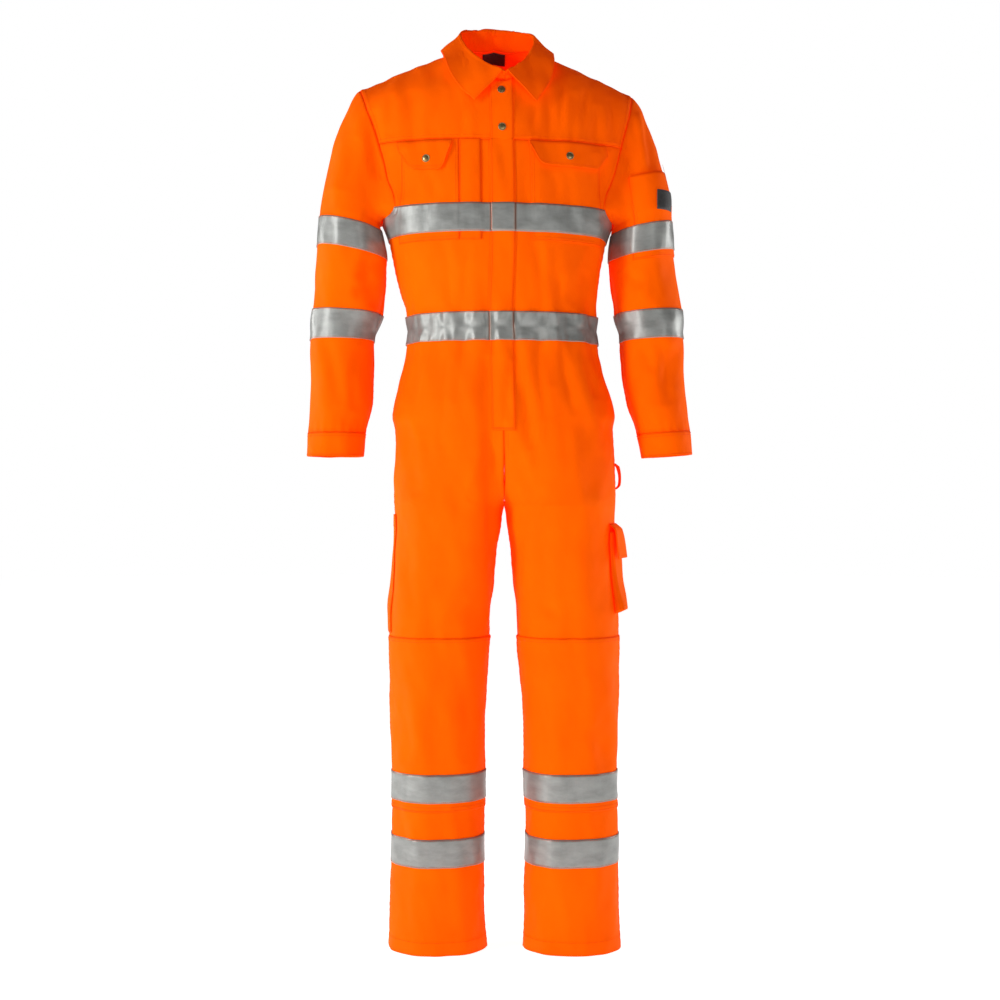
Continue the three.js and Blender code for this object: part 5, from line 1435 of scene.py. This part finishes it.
def make_chest_tapes():
    rows = between(BODICE_ROWS, *CHEST_TAPE)
    beside_placket = between(FRONT_COLUMNS, PLACKET_HALF_WIDTH, BODICE_EDGE)
    for side, mirror in SIDES:
        u, h = places(beside_placket, rows)
        u = np.where((u >= 197) & (h >= UNDERARM_HEIGHT), mix(u, 190, 0.6), u)
        u[:, 0] += GAP
        cloth_piece(f"chest_tape_{side}", on_surface(bodice_front, u, h), chest_tape_out(u, h, side), TAPE_CLOTH, TAPE,
                    mirror)
    u, h = places(BACK_COLUMNS, rows)
    narrowed = np.where(h >= UNDERARM_HEIGHT, 0.8755, 1.0)
    u = np.where(np.abs(u) > 0.8755, np.sign(u) * (0.8755 + (np.abs(u) - 0.8755) * (narrowed - 0.8755) / 0.1245), u)
    base = on_surface(bodice_back, u, h)
    out = ON_PANEL + 1.6 + tape_pucker(base[0][..., 0], h, *CHEST_TAPE)
    cloth_piece("chest_tape_back", base, out, TAPE_CLOTH, TAPE)
    t, h = places(PLACKET_COLUMNS, rows)
    base = placket_base(bodice_front, t, PLACKET_HALF_WIDTH, HALF_GAP, h)
    out = placket_out(t, h) + FLAP_CLOTH + GAP
    cloth_piece("chest_tape_placket", base, out, TAPE_CLOTH, TAPE, mirror=t < 0, middle=np.abs(t) < 1e-6)


def waist_front(u, h):
    above = (h >= WAIST_HEIGHT)[..., None]
    return np.where(above, bodice_ring("front", h, u), trouser_ring(h, np.pi / 2 - u))


def waist_back(u, h):
    above = (h >= WAIST_HEIGHT)[..., None]
    return np.where(above, bodice_ring("back", h, -u), trouser_ring(h, -np.pi / 2 - u))


def waist_tape_out(u, h):
    return ON_PANEL + 1.3 + tape_pucker(u * 164, h, *WAIST_TAPE) + 0.5 * np.sin(u * 21) * np.sin((h - 1066) / 9)


WAIST_ROWS = fine([1066, 1068, 1091, 1114, 1116], 4)
WAIST_START = float(angle_of_sin((PLACKET_HALF_WIDTH + GAP) / 164))


def make_waist_tapes():
    for side, mirror in SIDES:
        u, h = places(fine([WAIST_START, SIDE_SEAM_ANGLE], 0.02), WAIST_ROWS)
        cloth_piece(f"waist_tape_{side}", on_surface(waist_front, u, h), waist_tape_out(u, h), TAPE_CLOTH, TAPE, mirror)
    u, h = places(fine([-SIDE_SEAM_ANGLE, 0, SIDE_SEAM_ANGLE], 0.02), WAIST_ROWS)
    cloth_piece("waist_tape_back", on_surface(waist_back, u, h), waist_tape_out(u, h), TAPE_CLOTH, TAPE)
    t, h = places(PLACKET_COLUMNS, WAIST_ROWS)
    edge = float(angle_of_sin(PLACKET_HALF_WIDTH / 164))
    base = on_surface(waist_front, np.maximum(np.abs(t) * edge, 1e-4), h)
    cloth_piece("waist_tape_placket", base, placket_out(t, h) + FLAP_CLOTH + GAP + 0.6, TAPE_CLOTH, TAPE, mirror=t < 0,
                middle=np.abs(t) < 1e-6)


# Sleeves and cuffs, with the pocket on the wearer's left sleeve

SLEEVE_TAPES = (("upper", 1278, 1229), ("lower", 1127, 1076))
SLEEVE_POCKET = (12 / 22, 18 / 22)
SLEEVE_POCKET_END = 1217
SLEEVE_COLUMNS = fine([0, 0.004, 0.009, 0.017, 0.022, 0.03, SLEEVE_POCKET[0], SLEEVE_POCKET[1], 0.99, 0.996, 1], 0.0115)
SLEEVE_HEAD_ROWS = fine([0.05, 0.1, 0.15, 1], 0.026)
SLEEVE_HEIGHTS = fine([
    1290, 1278, 1276, 1231, 1229, SLEEVE_POCKET_END, 1170, 1127, 1125, 1078, 1076, 930, 915, 913, CUFF_TOP_HEIGHT,
], 5)[1:]
SLEEVE_ARC = 400


def sleeve_out(u, v):
    low, high, top = u * SLEEVE_ARC, (1 - u) * SLEEVE_ARC, v * 55
    relief = seam_relief(low, lapped=True) + seam_relief(high) + seam_relief(top)
    cuff = (2 - CUFF_TOP_SHARE - v) * 420
    relief = relief + pucker(low, v * 420) + pucker(high, v * 420) + pucker(top, u * SLEEVE_ARC, 14, 0.55, 15)
    return relief + pucker(cuff, u * SLEEVE_ARC, 16, 0.7, 17)


CUFF_TOP_SHARE = (CUFF_TOP_HEIGHT - CUFF_END_HEIGHT) / (SLEEVE_HEAD_END_HEIGHT - CUFF_END_HEIGHT)


def sleeve_base(surface):
    share = np.where(SLEEVE_COLUMNS > 0.5, 2 * (1 - SLEEVE_COLUMNS), 2 * SLEEVE_COLUMNS)
    front, back = armhole_edge("front", share), armhole_edge("back", share)
    ahead = (SLEEVE_COLUMNS > 0.5)[:, None]
    place, outward, past = (np.where(ahead, front[k], back[k]) for k in range(3))
    first = ((place + past * 2 * GAP)[None], outward[None])
    u, v = places(SLEEVE_COLUMNS, np.concatenate([SLEEVE_HEAD_ROWS, sleeve_v(SLEEVE_HEIGHTS)]))
    rest = on_surface(surface, u, v)
    base = tuple(np.concatenate([first[k], rest[k]], axis=0) for k in (0, 1))
    top_u, top_v = places(SLEEVE_COLUMNS, [0.0])
    return base, sleeve_out(np.concatenate([top_u, u]), np.concatenate([top_v, v]))


def over_sleeve_pocket(u):
    return ease((u - SLEEVE_POCKET[0] + 0.018) / 0.016) * ease((SLEEVE_POCKET[1] + 0.018 - u) / 0.016)


def sleeve_pocket_out(u, v):
    near = np.minimum(np.minimum(u - SLEEVE_POCKET[0], SLEEVE_POCKET[1] - u) * SLEEVE_ARC,
                      (sleeve_v(SLEEVE_POCKET_END) - v) * 420)
    full = 1.2 * np.sin(np.pi * clamp01((u - SLEEVE_POCKET[0]) / (SLEEVE_POCKET[1] - SLEEVE_POCKET[0])))
    return ON_PANEL + 0.3 + full * ease((1.1 - v) / 0.2) + 1.6 * ease((1 - v) / 0.12) + 0.6 * seam_relief(near, True)


def sleeve_tape_out(u, v, pocketed, start, end):
    h = SLEEVE_HEAD_END_HEIGHT - (v - 1) * (SLEEVE_HEAD_END_HEIGHT - CUFF_END_HEIGHT)
    out = ON_PANEL + 0.3 + sleeve_out(u, v) * 0.4
    if pocketed:
        out = mix(out, np.maximum(sleeve_pocket_out(u, v), ON_PANEL + 0.2) + CLOTH + 0.4, over_sleeve_pocket(u))
    return out + tape_pucker(u * SLEEVE_ARC, h, end, start)


def make_sleeve(side, surface):
    mirror = side == "right"
    base, out = sleeve_base(surface)
    cloth_piece(f"sleeve_{side}", base, out, mirror=mirror)
    u, v = places(SLEEVE_COLUMNS, sleeve_v(fine([CUFF_TOP_HEIGHT - GAP, 910, 907, 874, 871.5, CUFF_END_HEIGHT], 4)))
    ends = np.minimum((v - 2 + CUFF_TOP_SHARE) * 420, (2 - v) * 420)
    out = 0.6 * seam_relief(ends + 0.4) + 0.4 * pucker(ends, u * SLEEVE_ARC, 8, 0.5, 14)
    cloth_piece(f"cuff_{side}", on_surface(surface, u, v), out, 2 * CLOTH, mirror=mirror)
    for name, start, end in SLEEVE_TAPES:
        heights = SLEEVE_HEIGHTS[(SLEEVE_HEIGHTS <= start + 1e-6) & (SLEEVE_HEIGHTS >= end - 1e-6)]
        u, v = places(SLEEVE_COLUMNS, sleeve_v(heights))
        pocketed = side == "left" and name == "upper"
        out = sleeve_tape_out(u, v, pocketed, start, end)
        cloth_piece(f"sleeve_tape_{name}_{side}", on_surface(surface, u, v), out, TAPE_CLOTH, TAPE, mirror)


POCKET_RISES = Table(("rise", "inward"), [(0, 0), (36, 4), (74, 9)])


def make_sleeve_pocket():
    columns = between(SLEEVE_COLUMNS, *SLEEVE_POCKET)
    u, rise = places(columns, fine([74, 36, 5], 5))
    foot = left_sleeve(u, np.ones_like(u))
    u, v = place_at(left_sleeve, foot[..., 0] - POCKET_RISES.read("inward", rise), foot[..., 2] + rise, u, 1 - rise / 190)
    heights = SLEEVE_HEIGHTS[SLEEVE_HEIGHTS >= SLEEVE_POCKET_END - 1e-6]
    low_u, low_v = places(columns, np.concatenate([[1], sleeve_v(heights)]))
    u, v = np.concatenate([u, low_u]), np.concatenate([v, low_v])
    cloth_piece("sleeve_pocket", on_surface(left_sleeve, u, v), sleeve_pocket_out(u, v))
    x, h = places(fine([299, 285, 272], 3), fine([1335, 1301], 4))
    u, v = place_at(left_sleeve, x, h, np.full_like(x, 0.68), np.full_like(x, 0.8))
    out = sleeve_pocket_out(u, v) + CLOTH + 0.9
    cloth_piece("sleeve_label", on_surface(left_sleeve, u, v), out, TAPE_CLOTH, LABEL)


# Collar, and the label inside the back of the neck

def make_collar():
    half = [*NECK_PLACES, *[2 - place for place in reversed(NECK_PLACES[:-1])], 1.975, 1.992, 2]
    columns = fine([-seam for seam in reversed(half)] + [0, *half], 0.036)
    rows = fine([0.02, 0.06, 0.2, 0.42, 0.46, 0.5, 0.54, 0.58, 0.75, 0.95, 0.985, 1], 0.021)
    first = tuple(part[None] for part in neckline_base(columns))
    u, v = places(columns, rows)
    rest = on_surface(collar_surface, u, v)
    base = tuple(np.concatenate([first[k], rest[k]], axis=0) for k in (0, 1))
    u, v = places(columns, np.concatenate([[0], rows]))
    at_seam = v == 0
    soft = 0.8 * np.sin(u * 7.7 + 0.5) * ease((v - 0.62) / 0.2) + 0.6 * np.sin(u * 15 + v * 5) * ease((v - 0.03) / 0.1)
    out = np.where(at_seam, CLOTH - COLLAR_CLOTH, soft * 0.7)
    cloth_piece("collar", base, out, COLLAR_CLOTH, mirror=at_seam & (u > 0), flat=~at_seam)
    u, v = places(fine([-0.09, 0.09], 0.012), fine([0.86, 0.99], 0.02))
    cloth_piece("neck_label", on_surface(yoke_back, u, v), np.full_like(u, -1.6 - TAPE_CLOTH), TAPE_CLOTH, LABEL)


# Brass studs, each pressed through the cloth: a rolled rim round a low domed cap

STUD_RADIUS = 0.0068
STUD_HEIGHT = 0.0026


def select_top(obj, floor):
    """Selects the faces that look up at the top of a piece standing on the ground."""
    for face in obj.data.polygons:
        face.select = face.normal.z > 0.9 and face.center.z > floor
    bpy.ops.object.mode_set(mode="EDIT")


def stud_pattern():
    bpy.ops.object.select_all(action="DESELECT")
    bpy.ops.mesh.primitive_cylinder_add(vertices=40, radius=STUD_RADIUS, depth=STUD_HEIGHT * 0.55,
                                        location=(0, 0, STUD_HEIGHT * 0.275))
    stud = bpy.context.active_object
    bpy.ops.object.transform_apply(location=True, rotation=False, scale=False)
    bpy.ops.object.mode_set(mode="EDIT")
    bpy.ops.mesh.select_all(action="DESELECT")
    bpy.ops.object.mode_set(mode="OBJECT")
    select_top(stud, STUD_HEIGHT * 0.5)
    for thickness, depth in ((0.0005, 0.00035), (0.0004, 0.0), (0.0005, -0.0003), (0.0004, 0.0001), (0.0012, 0.00055),
                             (0.0012, 0.0003), (0.0012, 0.00012)):
        bpy.ops.mesh.inset(thickness=thickness, depth=depth)
    bpy.ops.object.mode_set(mode="OBJECT")
    rounded = stud.modifiers.new("rounded", "BEVEL")
    rounded.width = 0.00022
    rounded.segments = 2
    rounded.angle_limit = math.radians(35)
    bpy.ops.object.modifier_apply(modifier="rounded")
    bpy.ops.object.shade_smooth_by_angle(angle=math.radians(50))
    return stud


def make_stud(pattern, name, base, out, middle=None):
    stud = pattern.copy()
    stud.data = pattern.data.copy()
    stud.name = f"{name}_brass"
    bpy.context.scene.collection.objects.link(stud)
    foot = Vector(stand(worn(base, out, middle=middle))[0])
    head = Vector(stand(worn(base, out + 10, middle=middle))[0])
    turn = (head - foot).to_track_quat("Z", "Y").to_matrix().to_4x4()
    turn.translation = foot
    stud.data.transform(turn)
    stud.data.materials.append(BRASS)
    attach(stud, "root")
    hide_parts(name)


def make_studs():
    pattern = stud_pattern()
    on_placket = ON_PANEL + 0.25 + FLAP_CLOTH
    for name, v in (("stud_neck", 0.78), ("stud_chest", 0.18)):
        base = on_surface(yoke_front, np.array([1e-4]), np.array([v]))
        make_stud(pattern, name, base, on_placket, middle=np.array([True]))
    for name, surface, v in (("stud_flap_left", left_flap, 0.42), ("stud_flap_right", right_flap, 0.36)):
        u, v = np.array([2.0]), np.array([v])
        make_stud(pattern, name, on_surface(surface, u, v), flap_out(u, v) + FLAP_CLOTH)
    bpy.data.objects.remove(pattern)


# Rows of sewing

def run_of(start, end):
    return np.linspace(start, end, 60)


def on_top(out, thickness=CLOTH):
    """The level of the outside of a piece whose wall starts at out."""
    return lambda u, v: out(u, v) + thickness


def sew_beside(sewing, surface, u, v, out, across=(0,), upward=(0,), mirrors=(False, True), size=1.0):
    """Rows that run beside a seam, each some millimetres away from it, across or up the piece."""
    for mirror in mirrors:
        for step in across:
            for rise in upward:
                at_u, at_v = beside(surface, u, v, step, rise)
                sewing.row(surface, at_u, at_v, out, mirror, size=size)


def rows_away(distances, direction=1):
    return [direction * distance for distance in distances]


def sew_trousers(sewing):
    front, back = on_top(trouser_front_out), on_top(trouser_back_out)
    sew_beside(sewing, trouser_back, 0 * run_of(0, 1) + 1e-3, run_of(26, 1087), back, SEAM_ROWS)
    sew_beside(sewing, trouser_front, 0 * run_of(0, 1) + 1e-3, run_of(26, 776), front, SEAM_ROWS)
    sew_beside(sewing, trouser_front, 0 * run_of(0, 1) + 1e-3, run_of(782, 908), front, SEAM_ROWS, mirrors=(False,))
    sew_beside(sewing, trouser_back, 0 * run_of(0, 1) + 1 - 1e-3, run_of(782, 1087), back, rows_away(SEAM_ROWS, -1),
               mirrors=(False,))
    for surface, out in ((trouser_front, front), (trouser_back, back)):
        sew_beside(sewing, surface, run_of(0.01, 0.99), HEM_TURN_HEIGHT - 2, out)
    slit = np.linspace(0, 1, 20)
    sew_beside(sewing, trouser_front, 0.935 - 0.02 * slit, 1050 - 130 * slit, front, (0, 5))
    sew_beside(sewing, trouser_front, run_of(0.1, 0.99), WAIST_HEIGHT, front, upward=rows_away(SEAM_ROWS, -1))
    sew_beside(sewing, trouser_back, run_of(0.01, 0.99), WAIST_HEIGHT, back, upward=rows_away(SEAM_ROWS, -1))


def sew_knee_pockets(sewing):
    out = on_top(knee_pocket_out)
    u = run_of(0.012, 0.988)
    sew_beside(sewing, trouser_front, u, KNEE_SEAM_HEIGHT, out, upward=rows_away(SEAM_ROWS, -1))
    sew_beside(sewing, trouser_front, u, KNEE_POCKET_END_HEIGHT, out, upward=(3, 9))
    for place in (0.13, 0.87):
        sew_beside(sewing, trouser_front, 0 * u + place, np.linspace(252, 262, 60), out, (-1, 0, 1), size=0.8)


def sew_bodice(sewing):
    front, back, yoke = on_top(bodice_front_out), on_top(bodice_back_out), on_top(yoke_out)
    seam = rows_away(SEAM_ROWS, -1)
    for h in (run_of(WAIST_HEIGHT + 2, UNDERARM_HEIGHT - 2), run_of(UNDERARM_HEIGHT + 1, YOKE_HEIGHT - 2)):
        sew_beside(sewing, bodice_front, 0 * h + BODICE_EDGE - 0.2, h, front, seam)
        sew_beside(sewing, bodice_back, 0 * h + 1 - 1e-3, h, back, seam)
    for mirror in (False, True):
        edge = PLACKET_HALF_WIDTH + 3.5
        sewing.row(bodice_front, run_of(edge, edge), run_of(WAIST_HEIGHT + 2, YOKE_HEIGHT - 2), front, mirror)
    sew_beside(sewing, yoke_front, run_of(0.1, 0.985), 1e-3, yoke, upward=SEAM_ROWS)
    sew_beside(sewing, yoke_back, run_of(-0.985, 0.985), 1e-3, yoke, upward=SEAM_ROWS, mirrors=(False,))
    for surface in (yoke_front, yoke_back):
        sew_beside(sewing, surface, 0 * run_of(0, 1) + 1 - 1e-3, run_of(0.02, 0.98), yoke, seam)
    sew_beside(sewing, yoke_back, run_of(NECK_SHARE + 0.03, 0.985), 1 - 1e-3, yoke, upward=seam)


def sew_placket(sewing):
    for surface, edge, seam, rows in placket_parts():
        level = 1e-3 + np.linspace(rows[0], rows[-1], 60)
        high = level * YOKE_LENGTH + YOKE_HEIGHT if surface is yoke_front else level
        for share in (0.89,):
            for mirror in (False, True):
                outs = placket_out(share, high) + FLAP_CLOTH
                out = lambda u, v, at=level, outs=outs: np.interp(v, at, outs)
                sewing.row(surface, 0 * level + edge * share, level, out, mirror)
    for step in (-1, 0, 1):
        for mirror in (False, True):
            u = np.linspace(1e-3, 0.85 * FLY_COLUMN, 12)
            sewing.row(trouser_front, u, 0 * u + FLY_END_HEIGHT + 4 + step, ON_PANEL + 0.4 + FLAP_CLOTH, mirror, size=0.9)


def frame_rows(sewing, surface, out, inner, outer, low, high, insets, mirror, bottom=True):
    """Rows just inside the sides and the bottom of a pocket."""
    for inset in insets:
        sewing.row(surface, run_of(inner + inset, inner + inset), run_of(high, low + inset), out, mirror)
        sewing.row(surface, run_of(outer - inset, outer - inset), run_of(high, low + inset), out, mirror)
        if bottom:
            sewing.row(surface, run_of(inner + inset, outer - inset), run_of(low + inset, low + inset), out, mirror)


def sew_chest(sewing):
    low, high = POCKET_END_HEIGHT, YOKE_HEIGHT - 2
    frame_rows(sewing, bodice_front, on_top(left_pocket_out), 48, POCKET_EDGE, low, high, (2, 6), False)
    frame_rows(sewing, bodice_front, on_top(right_pocket_out), 73.6, POCKET_EDGE, low, high, (2, 6), True)
    frame_rows(sewing, bodice_front, on_top(pen_pocket_out), 36, 73, low, high, (2,), True)
    for surface in (left_flap, right_flap):
        out = on_top(flap_out, FLAP_CLOTH)
        sewing.row(surface, np.array([0.12, 0.12]), np.array([0.96, 0.25]), out)
        sewing.row(surface, np.array([0.12, 0.6, 1.06]), np.array([0.25, 0.2, 0.12]), out)
        sewing.row(surface, np.linspace(1.06, 2.94, 40), np.full(40, 0.12), out)
        sewing.row(surface, np.array([2.94, 3.4, 3.84]), np.array([0.12, 0.2, 0.3]), out)
        sewing.row(surface, np.array([3.84, 3.84]), np.array([0.3, 0.96]), out)
        sewing.row(surface, np.linspace(0.12, 3.84, 60), np.full(60, 0.93), out)


def sew_tapes(sewing):
    """Both edges of the leg tapes, the front chest tapes and the waist tapes."""
    inset = 2.2
    for side, mirror in SIDES:
        for _, low, high in LEG_TAPES:
            for surface, u in ((trouser_front, run_of(0.006, 0.994)), (trouser_back, run_of(0.006, 0.994))):
                for h in (low + inset, high - inset):
                    out = lambda u, v, surface=surface: leg_tape_out(surface, u, v) + TAPE_CLOTH
                    sewing.row(surface, u, 0 * u + h, out, mirror)
        for h in (CHEST_TAPE[0] + inset, CHEST_TAPE[1] - inset):
            end = 196 if h < UNDERARM_HEIGHT else 190
            out = lambda u, v, side=side: chest_tape_out(u, v, side) + TAPE_CLOTH
            sewing.row(bodice_front, run_of(PLACKET_HALF_WIDTH + 1.5, end), 0 * run_of(0, 1) + h, out, mirror)
        for h in (WAIST_TAPE[0] + inset, WAIST_TAPE[1] - inset):
            u = run_of(WAIST_START + 0.01, SIDE_SEAM_ANGLE - 0.01)
            sewing.row(waist_front, u, 0 * u + h, on_top(waist_tape_out, TAPE_CLOTH), mirror)
            sewing.row(waist_back, u, 0 * u + h, on_top(waist_tape_out, TAPE_CLOTH), mirror)


def sew_sleeves(sewing):
    top = on_top(sleeve_out)
    for side, surface in (("left", left_sleeve), ("right", right_sleeve)):
        mirror = side == "right"
        v = np.concatenate([np.linspace(0.1, 1, 30), sleeve_v(np.linspace(1288, CUFF_TOP_HEIGHT + 2, 60))])
        sew_beside(sewing, surface, 0 * v + 0.004, v, top, mirrors=(mirror,))
        sew_beside(sewing, surface, 0 * v + 0.017, v, top, mirrors=(mirror,))
        u = run_of(0.004, 0.996)
        for h in (CUFF_TOP_HEIGHT - 2.5, CUFF_TOP_HEIGHT - 7, CUFF_END_HEIGHT + 3):
            sewing.row(surface, u, 0 * u + float(sleeve_v(h)), 2 * CLOTH + 0.3, mirror)
        for name, start, end in SLEEVE_TAPES:
            for h in (start - 2.2, end + 2.2):
                pocketed = side == "left" and name == "upper"
                out = lambda u, v, p=pocketed, s=start, e=end: sleeve_tape_out(u, v, p, s, e) + TAPE_CLOTH
                sewing.row(surface, u, 0 * u + float(sleeve_v(h)), out, mirror)
    inner, outer = SLEEVE_POCKET[0] + 0.006, SLEEVE_POCKET[1] - 0.006
    pocket = on_top(sleeve_pocket_out)
    low = float(sleeve_v(SLEEVE_POCKET_END + 2.5))
    for u in (inner, inner + 0.012, outer - 0.012, outer):
        sewing.row(left_sleeve, run_of(u, u), run_of(0.64, low), pocket)
    sewing.row(left_sleeve, run_of(inner, outer), run_of(low, low), pocket)


def sew_collar(sewing):
    """Rows near the free edges of the leaves."""
    top = COLLAR_CLOTH
    inset = 0.14
    for end in (-1.93, 1.93):
        sewing.row(collar_surface, run_of(end, end), run_of(0.62, 1 - inset / 2), top, flat=True)
    sewing.row(collar_surface, run_of(-1.93, 1.93), run_of(1 - inset / 2, 1 - inset / 2), top, flat=True)


def sew_thigh_pockets(sewing):
    pocket = on_top(thigh_pocket_out)
    for inset in (2.5, 7.5):
        step = inset / THIGH_RADIUS
        for u in (THIGH_POCKET[0] + step, THIGH_POCKET[1] - step):
            sewing.row(trouser_side, run_of(u, u), run_of(600, 736), pocket)
        u = run_of(THIGH_POCKET[0] + step, THIGH_POCKET[1] - step)
        sewing.row(trouser_side, u, 0 * u + 600 + inset, pocket)
    flap = on_top(thigh_flap_out, FLAP_CLOTH)
    start, end = THIGH_FLAP[0] + 0.055, THIGH_FLAP[1] - 0.055
    sewing.row(trouser_side, run_of(start, end), run_of(695, 695), flap)
    sewing.row(trouser_side, run_of(start, end), run_of(741, 741), flap)
    for u in (start, end):
        sewing.row(trouser_side, run_of(u, u), run_of(695, 741), flap)
    ruler = on_top(ruler_pocket_out)
    low, high = RULER_POCKET_HEIGHTS
    for inset in (2.2, 7):
        step = inset / THIGH_RADIUS
        for u in (RULER_POCKET[0] + step, RULER_POCKET[1] - step):
            sewing.row(trouser_side, run_of(u, u), run_of(high - 2, low + inset), ruler, True)
    u = run_of(RULER_POCKET[0] + 0.02, RULER_POCKET[1] - 0.02)
    for h in (low + 2.2, high - 20):
        sewing.row(trouser_side, u, 0 * u + h, ruler, True)
    for rise in (814.5, 855.5):
        u = run_of(THIGH_LOOP[0] + 0.02, THIGH_LOOP[1] - 0.02)
        sewing.row(trouser_side, u, 0 * u + rise, on_top(thigh_loop_out))


def make_sewing():
    pattern = stitch_pattern()
    for name, sew in (
        ("trousers", sew_trousers), ("knee_pockets", sew_knee_pockets), ("bodice", sew_bodice),
        ("placket", sew_placket), ("chest", sew_chest), ("tapes", sew_tapes), ("sleeves", sew_sleeves),
        ("collar", sew_collar), ("thigh_pockets", sew_thigh_pockets),
    ):
        sewing = Sewing(pattern)
        sew(sewing)
        obj = sewing.made(f"sewing_{name}", THREAD)
        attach(obj, "root")


make_trousers()
make_leg_tapes()
make_thigh_pockets()
make_bodice()
make_placket()
make_chest_pockets()
make_chest_tapes()
make_waist_tapes()
make_sleeve("left", left_sleeve)
make_sleeve("right", right_sleeve)
make_sleeve_pocket()
make_collar()
make_studs()
make_sewing()


# The camera stands 2.8 m in front of the suit at the height of its middle, looking straight ahead

def make_camera():
    camera = bpy.data.objects.new("camera", bpy.data.cameras.new("camera"))
    camera.data.lens = 56.63
    camera.data.sensor_width = 36
    camera.location = (-0.0027, -2.8, -0.757)
    camera.rotation_euler = (math.pi / 2, 0, 0)
    bpy.context.scene.collection.objects.link(camera)
    bpy.context.scene.camera = camera


LIGHTS = (
    # name, place, what it points at, size, watts
    ("key_high", (-2.9, -1.9, 0.6), (0, 0, -0.5), 0.7, 45),
    ("key_low", (-2.9, -1.9, -0.9), (0, 0, -1.1), 0.7, 30),
    ("fill", (2.0, -3.2, -0.2), (0, 0, -0.8), 1.0, 10),
    ("rim_left", (2.4, 0.8, -0.3), (0.1, 0, -0.7), 1.0, 20),
    ("rim_right", (-2.4, 0.8, -0.3), (-0.1, 0, -0.7), 1.0, 18),
)


def make_lights():
    for name, place, target, size, watts in LIGHTS:
        data = bpy.data.lights.new(name, "AREA")
        data.shape = "DISK"
        data.size = size
        data.energy = watts
        light = bpy.data.objects.new(name, data)
        light.location = place
        light.rotation_euler = (Vector(target) - Vector(place)).to_track_quat("-Z", "Y").to_euler()
        light.visible_camera = False
        bpy.context.scene.collection.objects.link(light)


WORLD_LIGHT = 0.07
FLOOR_DROP = 0.002


def make_room():
    world = bpy.data.worlds.new("studio")
    bpy.context.scene.world = world
    world.use_nodes = True
    nodes, link = world.node_tree.nodes, world.node_tree.links.new
    seen = nodes.new("ShaderNodeLightPath").outputs["Is Camera Ray"]
    strength = nodes.new("ShaderNodeMapRange")
    strength.inputs["To Min"].default_value = WORLD_LIGHT
    strength.inputs["To Max"].default_value = 1.0
    link(seen, strength.inputs["Value"])
    nodes["Background"].inputs["Color"].default_value = (1, 1, 1, 1)
    link(strength.outputs["Result"], nodes["Background"].inputs["Strength"])

    bpy.ops.object.select_all(action="DESELECT")
    bpy.ops.mesh.primitive_circle_add(vertices=96, radius=14, fill_type="NGON",
                                      location=(0, 0, -SHOULDER_HEIGHT / 1000 - FLOOR_DROP))
    floor = bpy.context.active_object
    bpy.ops.object.transform_apply(location=True, rotation=False, scale=False)
    floor.name = "floor"
    material, nodes, link, shader = blank_material("pale_floor")
    shader.inputs["Base Color"].default_value = (0.9, 0.9, 0.9, 1)
    shader.inputs["Roughness"].default_value = 0.9
    shader.inputs["Specular IOR Level"].default_value = 0.0
    shader.inputs["Emission Color"].default_value = (1, 1, 1, 1)
    shader.inputs["Emission Strength"].default_value = 0.94
    floor.data.materials.append(material)


make_camera()
make_lights()
make_room()
bpy.context.scene.view_settings.view_transform = "Standard"
